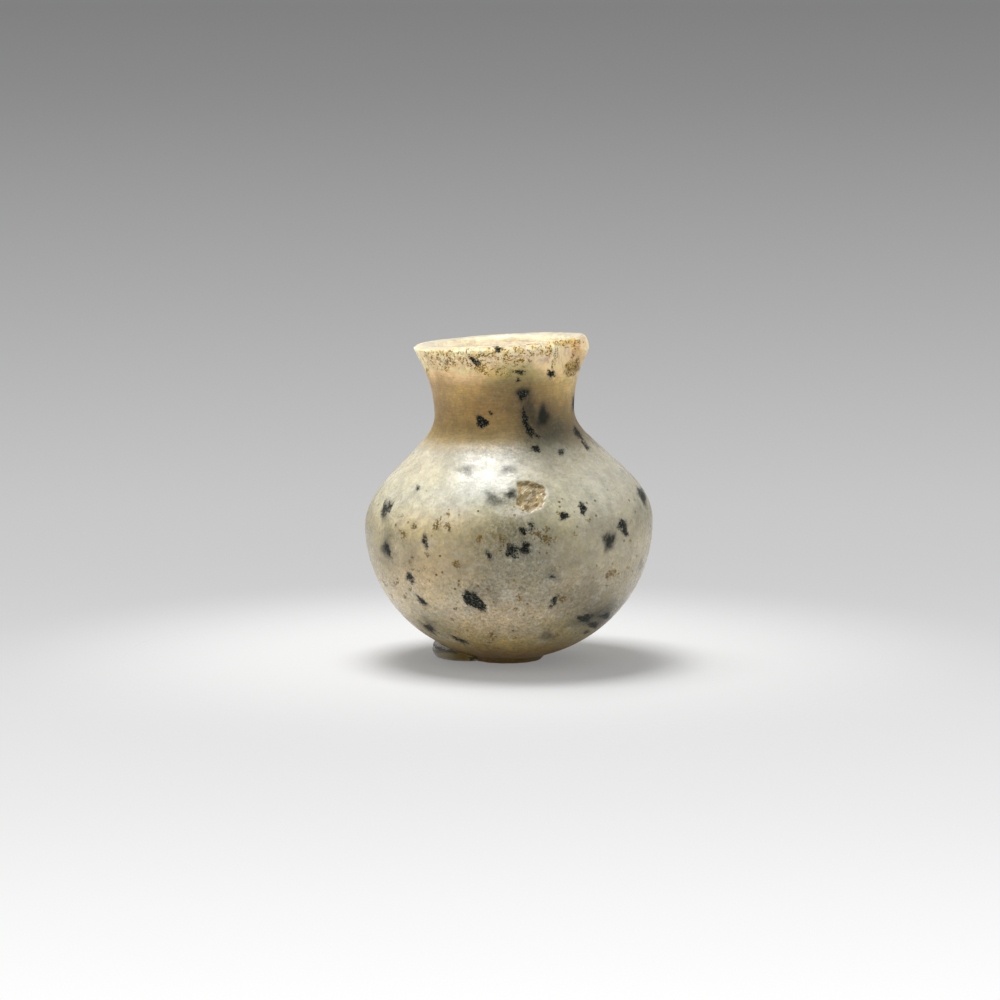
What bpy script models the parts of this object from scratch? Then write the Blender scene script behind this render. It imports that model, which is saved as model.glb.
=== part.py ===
"""Stone votive vessel: a small jar drilled and ground from one piece of stone, with its clear prop.

Units are metres and +Z is up. The origin is the centre of the foot's underside, and -Y is the
jar's front. The jar is a turned shell, open at the mouth. Its lip slopes, its body leans a little
to the left of its foot, and two flakes are broken out of it. A pressed pad of clear wax fills the
gap under its left side.
"""

import math

import bmesh
import bpy
from mathutils import Matrix, Vector

# Jar, outside: each rise starts at the level where the one before it ends
BODY_LIFT = 0.0001
BELLY_RISE = 0.0220
BELLY_RADIUS = 0.0231
BELLY_FULLNESS = 2.0
SHOULDER_RISE = 0.0181
NECK_RADIUS = 0.0112
FLARE_RISE = 0.0101
LIP_RADIUS = 0.0141
LIP_RISE = 0.0013
CREST_INSET = 0.0014
CREST_FULLNESS = 2.5

# Jar, inside: walls measured inwards from the outside, and the hollow's own levels
LIP_WALL = 0.0034
MOUTH_DROP = 0.0008
MOUTH_FULLNESS = 3.4
NECK_WALL = 0.0024
BELLY_WALL = 0.0037
FLOOR_THICKNESS = 0.0046
BORE_DROP = 0.0012

# Curves: how far each tangent reaches, as a share of the rise that it belongs to
SHOULDER_START_REACH = 0.43
SHOULDER_END_REACH = 0.31
FLARE_START_REACH = 0.46
FLARE_END_REACH = 0.27
FLARE_ANGLE = math.radians(29.0)

# Stance: the body's lean, and the slopes of the lip's widest ring and of its crest
LEAN = math.radians(2.2)
LIP_SLOPE = math.radians(-1.5)
CREST_SLOPE = math.radians(1.4)
AXIS_OFFSET = 0.0012

# Foot
FOOT_RADIUS = 0.0059
FOOT_HEIGHT = 0.00065
FOOT_ROUNDING = 0.0002
FOOT_ROOT = 0.0015

# Flake broken from the lip, right of the front
LIP_FLAKE_AZIMUTH = math.radians(58.0)
LIP_FLAKE_DEPTH = 0.0016
LIP_FLAKE_DROP = 0.0014
LIP_FLAKE_BALL = (0.0110, 0.0032, 0.0056)
LIP_FLAKE_STEPS = 3

# Flake broken from the shoulder, just right of the front
PIT_AZIMUTH = math.radians(10.0)
PIT_LEVEL = 0.0286
PIT_WIDTH = 0.0046
PIT_DEPTH = 0.0006
PIT_STEPS = 2

# Clear prop under the left side
PROP_CENTRE_X = -0.0062
PROP_CENTRE_Y = 0.0014
PROP_RADIUS = 0.0058
PROP_HEIGHT = 0.0030
PROP_ROUNDING = 0.0013
TOUCH_GAP = 0.0003

# Fineness of the turned surfaces
TURN_STEPS = 64
BELLY_POINTS = 11
SHOULDER_POINTS = 11
FLARE_POINTS = 6
LIP_POINTS = 4
HOLLOW_POINTS = 8
PROP_STEPS = 40
ROUNDING_STEPS = 4
MERGE_DISTANCE = 0.00001
SMOOTH_ANGLE = math.radians(35.0)

# Levels worked out from the rises
BELLY_LEVEL = BODY_LIFT + BELLY_RISE
NECK_LEVEL = BELLY_LEVEL + SHOULDER_RISE
LIP_LEVEL = NECK_LEVEL + FLARE_RISE
CREST_LEVEL = LIP_LEVEL + LIP_RISE
CREST_RADIUS = LIP_RADIUS - CREST_INSET


def clear_scene():
    """Remove the objects that the file opens with."""
    for thing in list(bpy.data.objects):
        bpy.data.objects.remove(thing, do_unlink=True)


def new_collection(name):
    """Return a new collection in the scene."""
    collection = bpy.data.collections.new(name)
    bpy.context.scene.collection.children.link(collection)
    return collection


def move_to(thing, collection):
    """Put an object in one collection alone."""
    for home in list(thing.users_collection):
        home.objects.unlink(thing)
    collection.objects.link(thing)
    return thing


def principled(name, colour, roughness, transmission=0.0, ior=1.5):
    """Return a material with one Principled BSDF."""
    material = bpy.data.materials.new(name)
    material.use_nodes = True
    shader = material.node_tree.nodes["Principled BSDF"]
    shader.inputs["Base Color"].default_value = (*colour, 1.0)
    shader.inputs["Roughness"].default_value = roughness
    shader.inputs["Metallic"].default_value = 0.0
    shader.inputs["Transmission Weight"].default_value = transmission
    shader.inputs["IOR"].default_value = ior
    material.diffuse_color = (*colour, 1.0)
    return material


def bezier(start, start_handle, end_handle, end, count):
    """Return count points after the start of a cubic curve, given as (radius, level)."""
    points = []
    for index in range(1, count + 1):
        t = index / count
        s = 1.0 - t
        weights = (s ** 3, 3 * s * s * t, 3 * s * t * t, t ** 3)
        corners = (start, start_handle, end_handle, end)
        points.append(tuple(sum(w * c[axis] for w, c in zip(weights, corners)) for axis in (0, 1)))
    return points


def quarter_arc(centre, radius, rise, fullness, count, first=0.0, last=math.pi / 2):
    """Return count points after the first of a superellipse arc, from beside its centre upwards."""
    points = []
    for index in range(1, count + 1):
        angle = first + (last - first) * index / count
        across = abs(math.cos(angle)) ** (2.0 / fullness)
        along = abs(math.sin(angle)) ** (2.0 / fullness)
        points.append((centre[0] + radius * across, centre[1] + rise * along))
    return points


def belly_arc(radius, bottom, count):
    """Return the lower belly's points, from the widest ring down to the axis."""
    arc = quarter_arc((0.0, BELLY_LEVEL), radius, bottom - BELLY_LEVEL, BELLY_FULLNESS, count)
    arc[-1] = (0.0, bottom)
    return arc


def shoulder_curve(belly_radius, neck_radius, neck_level, count):
    """Return the shoulder's points, from the widest ring up to the neck."""
    rise = neck_level - BELLY_LEVEL
    return bezier((belly_radius, BELLY_LEVEL),
                  (belly_radius, BELLY_LEVEL + SHOULDER_START_REACH * rise),
                  (neck_radius, neck_level - SHOULDER_END_REACH * rise),
                  (neck_radius, neck_level), count)


def flare_curve(neck_radius, neck_level, lip_radius, lip_level, count):
    """Return the flare's points, from the neck up to the lip."""
    rise = lip_level - neck_level
    reach = FLARE_END_REACH * rise
    return bezier((neck_radius, neck_level),
                  (neck_radius, neck_level + FLARE_START_REACH * rise),
                  (lip_radius - reach * math.sin(FLARE_ANGLE), lip_level - reach * math.cos(FLARE_ANGLE)),
                  (lip_radius, lip_level), count)


def outside_upwards(grow=0.0):
    """Return the outside from the foot's axis up to the lip's widest ring, grown outwards."""
    bottom = (0.0, BODY_LIFT - grow)
    belly = belly_arc(BELLY_RADIUS + grow, bottom[1], BELLY_POINTS)
    shoulder = shoulder_curve(BELLY_RADIUS + grow, NECK_RADIUS + grow, NECK_LEVEL, SHOULDER_POINTS)
    flare = flare_curve(NECK_RADIUS + grow, NECK_LEVEL, LIP_RADIUS + grow, LIP_LEVEL, FLARE_POINTS)
    return list(reversed(belly)) + [(BELLY_RADIUS + grow, BELLY_LEVEL)] + shoulder + flare


def inside_upwards():
    """Return the hollow from its floor on the axis up to the mouth's edge."""
    belly_radius = BELLY_RADIUS - BELLY_WALL
    neck_radius = NECK_RADIUS - NECK_WALL
    neck_level = NECK_LEVEL - BORE_DROP
    mouth = (LIP_RADIUS - LIP_WALL, CREST_LEVEL - MOUTH_DROP)
    belly = belly_arc(belly_radius, BODY_LIFT + FLOOR_THICKNESS, HOLLOW_POINTS)
    shoulder = shoulder_curve(belly_radius, neck_radius, neck_level, HOLLOW_POINTS)
    flare = flare_curve(neck_radius, neck_level, *mouth, FLARE_POINTS)
    return list(reversed(belly)) + [(belly_radius, BELLY_LEVEL)] + shoulder + flare


def jar_section():
    """Return the wall's section: up the hollow, over the crest and down the outside."""
    inside = inside_upwards()
    outside = outside_upwards()
    mouth_radius = LIP_RADIUS - LIP_WALL
    mouth_level = CREST_LEVEL - MOUTH_DROP
    crest_in = quarter_arc((CREST_RADIUS, mouth_level), mouth_radius - CREST_RADIUS, MOUTH_DROP,
                           MOUTH_FULLNESS, LIP_POINTS)
    crest_out = quarter_arc((CREST_RADIUS, LIP_LEVEL), CREST_INSET, LIP_RISE, CREST_FULLNESS, LIP_POINTS)
    over = crest_in + list(reversed(crest_out[:-1]))
    return inside + over + list(reversed(outside))


def turned(name, section, steps):
    """Return a mesh turned about Z from a section of (radius, level) points."""
    mesh = bpy.data.meshes.new(name + "_section")
    outline = bmesh.new()
    corners = [outline.verts.new((radius, 0.0, level)) for radius, level in section]
    for one, other in zip(corners, corners[1:]):
        outline.edges.new((one, other))
    outline.to_mesh(mesh)
    outline.free()
    guide = bpy.data.objects.new(name + "_section", mesh)
    bpy.context.scene.collection.objects.link(guide)
    screw = guide.modifiers.new("Turn", "SCREW")
    screw.axis = "Z"
    screw.angle = math.tau
    screw.steps = steps
    screw.render_steps = steps
    screw.use_merge_vertices = True
    screw.merge_threshold = MERGE_DISTANCE
    graph = bpy.context.evaluated_depsgraph_get()
    solid = bpy.data.meshes.new_from_object(guide.evaluated_get(graph))
    solid.name = name
    bpy.data.objects.remove(guide, do_unlink=True)
    bpy.data.meshes.remove(mesh)
    return solid


def lip_slope(level):
    """Return the tangent of the slope at a level: none at the neck, then the lip's, then the crest's."""
    lip = math.tan(LIP_SLOPE)
    crest = math.tan(CREST_SLOPE)
    if level <= NECK_LEVEL:
        return 0.0
    if level <= LIP_LEVEL:
        return lip * (level - NECK_LEVEL) / (LIP_LEVEL - NECK_LEVEL)
    return lip + (crest - lip) * min(1.0, (level - LIP_LEVEL) / (CREST_LEVEL - LIP_LEVEL))


def tilt_lip(mesh):
    """Slope the rings of the lip across the jar, as its maker ground them."""
    for corner in mesh.vertices:
        corner.co.z += corner.co.x * lip_slope(corner.co.z)


def stance():
    """Return the matrix that leans the body over its foot."""
    return Matrix.Translation((AXIS_OFFSET, 0.0, 0.0)) @ Matrix.Rotation(-LEAN, 4, "Y")


def outside_radius(level):
    """Return the outside's radius at a level, read between the section's points."""
    outside = outside_upwards()
    for (low_radius, low), (high_radius, high) in zip(outside, outside[1:]):
        if low <= level <= high:
            return low_radius + (high_radius - low_radius) * (level - low) / (high - low)
    return CREST_RADIUS


def shoulder_normal(level):
    """Return the outside's outward direction at a level, as (radial, vertical)."""
    step = SHOULDER_RISE / 100.0
    slope = (outside_radius(level + step) - outside_radius(level - step)) / (2.0 * step)
    return Vector((1.0, -slope)).normalized()


def as_cutter(thing, cutters):
    """Hide a helper solid from the model."""
    thing.hide_render = True
    thing.display_type = "WIRE"
    return move_to(thing, cutters)


def boolean(target, other, operation):
    """Add an exact Boolean of another object to the target."""
    modifier = target.modifiers.new(operation.title() + " " + other.name, "BOOLEAN")
    modifier.operation = operation
    modifier.solver = "EXACT"
    modifier.object = other


def faceted_ball(name, subdivisions, radii, azimuth, radius, level, cutters):
    """Return a faceted ball that breaks a flake out of the jar.

    Its radii are along the ring, outwards and upwards. Its centre is beside the leaning axis, at
    an azimuth to the right of the front.
    """
    bpy.ops.mesh.primitive_ico_sphere_add(subdivisions=subdivisions, radius=1.0)
    ball = bpy.context.object
    ball.name = name
    ball.data.transform(Matrix.Diagonal((*radii, 1.0)))
    outwards = Matrix.Translation((0.0, -radius, level))
    ball.matrix_world = stance() @ Matrix.Rotation(azimuth, 4, "Z") @ outwards
    return as_cutter(ball, cutters)


def lip_flake(cutters):
    """Return the cutter of the broad flake that is missing from the lip."""
    reach = LIP_RADIUS - LIP_FLAKE_DEPTH + LIP_FLAKE_BALL[1]
    return faceted_ball("lip_flake", LIP_FLAKE_STEPS, LIP_FLAKE_BALL, LIP_FLAKE_AZIMUTH, reach,
                        LIP_LEVEL - LIP_FLAKE_DROP, cutters)


def shoulder_pit(cutters):
    """Return the cutter of the small flake that is missing from the shoulder."""
    curve = (PIT_WIDTH ** 2 / 4.0 + PIT_DEPTH ** 2) / (2.0 * PIT_DEPTH)
    normal = shoulder_normal(PIT_LEVEL)
    radius = outside_radius(PIT_LEVEL) + normal[0] * (curve - PIT_DEPTH)
    level = PIT_LEVEL + normal[1] * (curve - PIT_DEPTH)
    return faceted_ball("shoulder_pit", PIT_STEPS, (curve, curve, curve), PIT_AZIMUTH, radius, level,
                        cutters)


def foot_disc(name, radius, height, rounding):
    """Return a disc that stands on the ground around the origin, with its lower edge rounded."""
    bpy.ops.mesh.primitive_cylinder_add(vertices=TURN_STEPS, radius=radius, depth=height,
                                        location=(0.0, 0.0, height / 2.0))
    disc = bpy.context.object
    disc.name = name
    bevel = disc.modifiers.new("Rounding", "BEVEL")
    bevel.width = rounding
    bevel.segments = 2
    bevel.limit_method = "ANGLE"
    return disc


def make_jar(model, cutters):
    """Build the stone jar with its foot, its hollow and its flakes."""
    mesh = turned("stone_vessel", jar_section(), TURN_STEPS)
    tilt_lip(mesh)
    jar = bpy.data.objects.new("stone_vessel", mesh)
    model.objects.link(jar)
    jar.matrix_world = stance()
    foot = foot_disc("foot", FOOT_RADIUS, FOOT_HEIGHT + FOOT_ROOT, FOOT_ROUNDING)
    boolean(jar, as_cutter(foot, cutters), "UNION")
    boolean(jar, lip_flake(cutters), "DIFFERENCE")
    boolean(jar, shoulder_pit(cutters), "DIFFERENCE")
    mesh.materials.append(principled("translucent stone", (0.56, 0.52, 0.40), 0.35))
    mesh.shade_smooth()
    mesh.set_sharp_from_angle(angle=SMOOTH_ANGLE)
    return jar


def make_prop(model, cutters):
    """Build the pressed pad of clear wax, clear of the jar's underside and foot."""
    bpy.ops.mesh.primitive_cylinder_add(vertices=PROP_STEPS, radius=PROP_RADIUS, depth=PROP_HEIGHT,
                                        location=(PROP_CENTRE_X, PROP_CENTRE_Y, PROP_HEIGHT / 2.0))
    prop = move_to(bpy.context.object, model)
    prop.name = "clear_prop"
    bevel = prop.modifiers.new("Rounding", "BEVEL")
    bevel.width = PROP_ROUNDING
    bevel.segments = ROUNDING_STEPS
    bevel.limit_method = "ANGLE"
    outside = outside_upwards(TOUCH_GAP) + [(0.0, LIP_LEVEL)]
    grown = bpy.data.objects.new("grown_body", turned("grown_body", list(reversed(outside)), TURN_STEPS))
    grown.matrix_world = stance()
    boolean(prop, as_cutter(grown, cutters), "DIFFERENCE")
    ring = foot_disc("grown_foot", FOOT_RADIUS + TOUCH_GAP, FOOT_HEIGHT + FOOT_ROOT, FOOT_ROUNDING)
    ring.location.z -= TOUCH_GAP
    boolean(prop, as_cutter(ring, cutters), "DIFFERENCE")
    prop.data.materials.append(principled("clear wax", (0.86, 0.87, 0.85), 0.12, 0.9, 1.45))
    prop.data.shade_smooth()
    prop.data.set_sharp_from_angle(angle=SMOOTH_ANGLE)
    return prop


def main():
    """Build the whole model."""
    clear_scene()
    model = new_collection("stone votive vessel")
    cutters = new_collection("cutters")
    make_jar(model, cutters)
    make_prop(model, cutters)


main()
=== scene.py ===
"""Looks of the stone votive vessel: a small jar of speckled, translucent stone on a dab of clear wax.

The jar and the wax replace the plain solids of the frame with finer meshes of the same form. Sizes
are in millimetres, and a mesh is scaled to metres as it is made. Azimuth 0 is the jar's front, -Y,
and grows to the viewer's right. A level is a height along the jar's own leaning axis.
"""

from __future__ import annotations

import logging
import math
from dataclasses import dataclass, field
from functools import cached_property

import bmesh
import bpy
import numpy as np
from mathutils import Matrix, Vector, noise

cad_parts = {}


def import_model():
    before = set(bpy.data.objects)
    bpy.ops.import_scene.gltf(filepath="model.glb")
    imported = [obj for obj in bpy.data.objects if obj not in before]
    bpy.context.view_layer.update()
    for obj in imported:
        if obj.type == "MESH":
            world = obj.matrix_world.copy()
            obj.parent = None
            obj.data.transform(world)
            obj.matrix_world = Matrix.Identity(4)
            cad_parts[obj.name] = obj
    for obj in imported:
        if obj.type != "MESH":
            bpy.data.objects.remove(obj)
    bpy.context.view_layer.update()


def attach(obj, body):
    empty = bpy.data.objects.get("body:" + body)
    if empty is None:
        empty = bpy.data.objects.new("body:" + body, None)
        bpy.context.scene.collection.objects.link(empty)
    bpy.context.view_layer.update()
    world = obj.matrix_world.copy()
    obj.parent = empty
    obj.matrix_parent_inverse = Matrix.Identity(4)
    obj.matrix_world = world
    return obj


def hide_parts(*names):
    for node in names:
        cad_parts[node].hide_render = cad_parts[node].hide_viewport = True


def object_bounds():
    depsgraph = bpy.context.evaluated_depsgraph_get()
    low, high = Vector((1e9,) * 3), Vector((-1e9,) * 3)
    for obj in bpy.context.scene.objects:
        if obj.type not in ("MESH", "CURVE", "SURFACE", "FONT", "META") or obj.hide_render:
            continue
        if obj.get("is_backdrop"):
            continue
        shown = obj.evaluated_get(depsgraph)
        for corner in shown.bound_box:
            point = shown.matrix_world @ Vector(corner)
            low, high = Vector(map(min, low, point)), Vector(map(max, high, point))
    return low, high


MM = 0.001
Socket = bpy.types.NodeSocket
log = logging.getLogger("votive_vessel")


def smooth_step(low: float, high: float, value: np.ndarray) -> np.ndarray:
    """Ease a value from 0 at low to 1 at high.

    Args:
        low: Where the result leaves 0.
        high: Where it reaches 1. It may be the smaller of the two.
        value: The values to ease.

    Returns:
        The eased values.
    """
    share = np.clip((value - low) / (high - low), 0.0, 1.0)
    return share * share * (3.0 - 2.0 * share)


def lumps(points: np.ndarray, size: float, seed: float) -> np.ndarray:
    """Read smooth noise at some points.

    Args:
        points: Places in millimetres, one row each.
        size: The size of a lump in millimetres.
        seed: A shift that gives another pattern.

    Returns:
        One value from -1 to 1 for each point.
    """
    shift = Vector((seed * 17.3, seed * 5.1, -seed * 9.7))
    return np.array([noise.noise(Vector(point) / size + shift) for point in points])


@dataclass(frozen=True)
class Lumps:
    """Smooth noise of a height and a size in millimetres, with a seed that tells it from others."""

    height: float
    size: float
    seed: float

    def at(self, points: np.ndarray) -> np.ndarray:
        """Return the noise's height at each of some points in millimetres."""
        return self.height * lumps(points, self.size, self.seed)


def inside_outline(places: np.ndarray, outline: np.ndarray) -> np.ndarray:
    """Measure how far places are inside a closed outline.

    Args:
        places: Rows of two coordinates.
        outline: The outline's corners in order, as rows of two coordinates.

    Returns:
        The distance to the outline's nearest side, negative outside it.
    """
    distance = np.full(len(places), np.inf)
    crossings = np.zeros(len(places), int)
    for start, end in zip(outline, np.roll(outline, -1, axis=0)):
        side = end - start
        along = np.clip((places - start) @ side / (side @ side), 0.0, 1.0)
        distance = np.minimum(distance, np.linalg.norm(places - start - along[:, None] * side, axis=1))
        spans = (places[:, 1] < start[1]) != (places[:, 1] < end[1])
        rise = side[1] if side[1] else 1.0
        crossings += spans & (places[:, 0] < start[0] + (places[:, 1] - start[1]) / rise * side[0])
    return np.where(crossings % 2 == 1, distance, -distance)


@dataclass(frozen=True)
class PhotoView:
    """The photograph's camera, as fitted to the jar's outline."""

    side: float = -1.05
    distance: float = 550.0
    height: float = 90.5
    pitch: float = math.radians(6.72)
    focal_pixels: float = 3449.3
    frame_pixels: float = 1000.0
    sensor: float = 36.0
    near_clip: float = 10.0
    far_clip: float = 10000.0

    def place(self) -> Vector:
        """Return the camera's place in millimetres."""
        return Vector((self.side, -self.distance, self.height))

    def axes(self) -> tuple[Vector, Vector, Vector]:
        """Return the directions to the picture's right, to its top and into it."""
        up = Vector((0.0, math.sin(self.pitch), math.cos(self.pitch)))
        ahead = Vector((0.0, math.cos(self.pitch), -math.sin(self.pitch)))
        return Vector((1.0, 0.0, 0.0)), up, ahead

    def ray(self, x: float, y: float) -> Vector:
        """Return the direction from the camera through a pixel of the photograph.

        Args:
            x: The pixel's column.
            y: The pixel's row.

        Returns:
            A unit vector.
        """
        right, up, ahead = self.axes()
        half = self.frame_pixels / 2.0
        across = (x - half) / self.focal_pixels
        above = (half - y) / self.focal_pixels
        return (ahead + right * across + up * above).normalized()

    def build(self) -> None:
        """Make the camera and give it to the scene."""
        lens = bpy.data.cameras.new("photo_view")
        lens.sensor_width = self.sensor
        lens.sensor_fit = "HORIZONTAL"
        lens.lens = self.focal_pixels / self.frame_pixels * self.sensor
        lens.clip_start = self.near_clip * MM
        lens.clip_end = self.far_clip * MM
        camera = bpy.data.objects.new("photo_view", lens)
        camera.location = self.place() * MM
        camera.rotation_euler = (math.pi / 2.0 - self.pitch, 0.0, 0.0)
        bpy.context.scene.collection.objects.link(camera)
        bpy.context.scene.camera = camera


@dataclass(frozen=True)
class JarForm:
    """The jar's sizes, and the curves of its wall."""

    body_lift: float = 0.1
    belly_rise: float = 22.0
    belly_radius: float = 23.1
    belly_fullness: float = 2.0
    shoulder_rise: float = 18.1
    neck_radius: float = 11.2
    flare_rise: float = 10.1
    lip_radius: float = 14.1
    lip_rise: float = 1.3
    crest_inset: float = 1.4
    lip_wall: float = 3.4
    mouth_drop: float = 0.8
    neck_wall: float = 2.4
    belly_wall: float = 3.7
    floor_thickness: float = 4.6
    bore_drop: float = 1.2
    shoulder_start_reach: float = 0.43
    shoulder_end_reach: float = 0.31
    flare_start_reach: float = 0.46
    flare_end_reach: float = 0.27
    flare_angle: float = math.radians(29.0)
    lean: float = math.radians(2.2)
    lip_slope: float = math.radians(-1.5)
    crest_slope: float = math.radians(1.4)
    axis_offset: float = 1.2
    foot_radius: float = 5.9
    foot_blend: float = 0.5
    mouth_fullness: float = 3.4
    lip_fullness: float = 2.5
    samples: int = 90

    @property
    def belly_level(self) -> float:
        """The level of the widest ring."""
        return self.body_lift + self.belly_rise

    @property
    def neck_level(self) -> float:
        """The level of the neck's narrowest ring."""
        return self.belly_level + self.shoulder_rise

    @property
    def lip_level(self) -> float:
        """The level of the lip's widest ring."""
        return self.neck_level + self.flare_rise

    @property
    def crest_level(self) -> float:
        """The level of the top of the lip."""
        return self.lip_level + self.lip_rise

    @property
    def crest_radius(self) -> float:
        """The radius of the top of the lip."""
        return self.lip_radius - self.crest_inset

    def curve(self, corners: list[tuple[float, float]]) -> np.ndarray:
        """Sample a cubic curve, without its first point.

        Args:
            corners: Its start, two handles and its end, as (radius, level).

        Returns:
            One row of (radius, level) for each sample.
        """
        t = np.linspace(0.0, 1.0, self.samples + 1)[1:, None]
        start, leave, arrive, end = (np.array(corner) for corner in corners)
        s = 1.0 - t
        return s ** 3 * start + 3 * s * s * t * leave + 3 * s * t * t * arrive + t ** 3 * end

    def arc(self, centre: tuple[float, float], across: float, along: float,
            fullness: float) -> np.ndarray:
        """Sample a quarter of a superellipse, from beside its centre to above or below it.

        Args:
            centre: Its centre as (radius, level).
            across: Its reach in radius, negative inwards.
            along: Its reach in level, negative downwards.
            fullness: The superellipse's exponent, 2 for an ellipse.

        Returns:
            One row of (radius, level) for each sample, the first point included.
        """
        angle = np.linspace(0.0, math.pi / 2.0, self.samples)
        radius = centre[0] + across * np.abs(np.cos(angle)) ** (2.0 / fullness)
        level = centre[1] + along * np.abs(np.sin(angle)) ** (2.0 / fullness)
        return np.stack([radius, level], 1)

    def belly(self, radius: float, bottom: float) -> np.ndarray:
        """Return the lower belly, from its bottom on the axis up to the widest ring."""
        depth = bottom - self.belly_level
        return self.arc((0.0, self.belly_level), radius, depth, self.belly_fullness)[::-1]

    def shoulder(self, belly_radius: float, neck_radius: float, neck_level: float) -> np.ndarray:
        """Return the shoulder, from above the widest ring up to the neck."""
        rise = neck_level - self.belly_level
        return self.curve([(belly_radius, self.belly_level),
                           (belly_radius, self.belly_level + self.shoulder_start_reach * rise),
                           (neck_radius, neck_level - self.shoulder_end_reach * rise),
                           (neck_radius, neck_level)])

    def flare(self, neck_radius: float, neck_level: float, lip_radius: float,
              lip_level: float) -> np.ndarray:
        """Return the flare, from above the neck up to the lip."""
        rise = lip_level - neck_level
        reach = self.flare_end_reach * rise
        return self.curve([(neck_radius, neck_level),
                           (neck_radius, neck_level + self.flare_start_reach * rise),
                           (lip_radius - reach * math.sin(self.flare_angle),
                            lip_level - reach * math.cos(self.flare_angle)),
                           (lip_radius, lip_level)])

    @cached_property
    def outside(self) -> np.ndarray:
        """The outside, from the foot's axis up to the lip's widest ring."""
        return np.vstack([self.belly(self.belly_radius, self.body_lift),
                          self.shoulder(self.belly_radius, self.neck_radius, self.neck_level),
                          self.flare(self.neck_radius, self.neck_level, self.lip_radius,
                                     self.lip_level)])

    @cached_property
    def inside(self) -> np.ndarray:
        """The hollow, from its floor on the axis up to the mouth's edge."""
        belly_radius = self.belly_radius - self.belly_wall
        neck_radius = self.neck_radius - self.neck_wall
        neck_level = self.neck_level - self.bore_drop
        mouth = (self.lip_radius - self.lip_wall, self.crest_level - self.mouth_drop)
        return np.vstack([self.belly(belly_radius, self.body_lift + self.floor_thickness),
                          self.shoulder(belly_radius, neck_radius, neck_level),
                          self.flare(neck_radius, neck_level, *mouth)])

    def crest(self) -> np.ndarray:
        """Return the rounded top of the lip, from the mouth's edge out to the widest ring."""
        mouth_level = self.crest_level - self.mouth_drop
        mouth_reach = self.lip_radius - self.lip_wall - self.crest_radius
        inner = self.arc((self.crest_radius, mouth_level), mouth_reach, self.mouth_drop,
                         self.mouth_fullness)
        outer = self.arc((self.crest_radius, self.lip_level), self.crest_inset, self.lip_rise,
                         self.lip_fullness)
        return np.vstack([inner[1:], outer[::-1][1:]])

    def is_outer(self, radius: np.ndarray, level: np.ndarray) -> np.ndarray:
        """Tell which places of the section are on the outer half of the wall."""
        outer = np.interp(level, self.outside[:, 1], self.outside[:, 0])
        inner = np.interp(level, self.inside[:, 1], self.inside[:, 0])
        middle = np.where(level >= self.lip_level, self.crest_radius, (outer + inner) / 2.0)
        return (level < self.floor_thickness) | (radius > middle)

    def stand(self, points: np.ndarray) -> np.ndarray:
        """Lean points of the jar's own frame over its foot.

        Args:
            points: Rows of x, y and level beside the jar's axis.

        Returns:
            Rows of x, y and z on the ground that the jar stands on.
        """
        x = points[:, 0] * math.cos(self.lean) - points[:, 2] * math.sin(self.lean) + self.axis_offset
        z = points[:, 0] * math.sin(self.lean) + points[:, 2] * math.cos(self.lean)
        return np.stack([x, points[:, 1], z], 1)

    def slope(self, level: np.ndarray) -> np.ndarray:
        """Return the tangent of the lip's slope at some levels."""
        levels = [self.neck_level, self.lip_level, self.crest_level]
        return np.interp(level, levels, [0.0, math.tan(self.lip_slope), math.tan(self.crest_slope)])


@dataclass(frozen=True)
class Spot:
    """A grain or a stain: its pixel of the photograph, and its size in pixels.

    The tables below give each spot as a row of these values, in this order, without the last ones
    where they are the usual ones. Turns are in degrees.
    """

    x: float
    y: float
    wide: float
    tall: float
    turn: float = 0.0
    strength: float = 1.0


def surface_grains() -> list[Spot]:
    """Return the sharp dark grains that the photograph shows, from the lip down."""
    rows = [
        (498, 349, 6, 6, 30), (475, 361, 10, 5, -35), (519, 372, 9, 4), (518, 380, 4, 3),
        (551, 374, 6, 8, 20), (523, 395, 7, 9, -25), (525, 419, 6, 16, 5), (529, 430, 6, 14, 32),
        (482, 422, 11, 11), (491, 413, 4, 4), (537, 436, 5, 3, -30), (574, 405, 4, 14),
        (578, 434, 5, 13, 38), (586, 446, 4, 8, 35), (536, 449, 7, 7), (561, 452, 6, 5),
        (418, 488, 4, 4), (384.5, 509, 5, 13, -8), (388, 508.5, 2.8, 14, -20),
        (390.5, 508, 2.4, 11, -26), (425, 541.5, 4.6, 12, 17), (388, 550, 4, 13, 17),
        (409.5, 576.5, 6, 9, 10), (412.5, 582, 4, 5), (422, 601, 5, 12, 38), (429, 628, 15, 5, -38),
        (460, 640, 13, 4, -25), (469, 597, 12, 11, -15), (474, 601, 19, 13, -28),
        (478, 604, 15, 11, -20), (489, 555, 4.6, 8, 20), (511, 547, 8, 5, 20), (511, 550, 8, 10),
        (514, 556, 6, 4, -40), (506.5, 554, 4, 2.5, 20), (526, 545, 9, 6, 25), (525, 550, 7, 10),
        (518.5, 548, 5, 3), (523, 531, 6, 7), (531.5, 525, 3, 6, 40), (531, 529, 3, 5, 25),
        (564, 516, 8, 8), (583, 509, 7, 9, 5), (580.5, 504, 4, 4), (622, 524, 8, 9, 10),
        (625, 531, 6, 9, 20), (642, 495.5, 6, 18, 28), (552, 577, 4, 4), (554, 601, 6, 7, -30),
        (551, 606, 5, 3, 45), (585, 618, 13, 8, 10), (605, 616, 11, 6, 10), (593, 625, 9, 7, -20),
        (586, 632, 5, 4)]
    return [Spot(*row) for row in rows]


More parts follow.
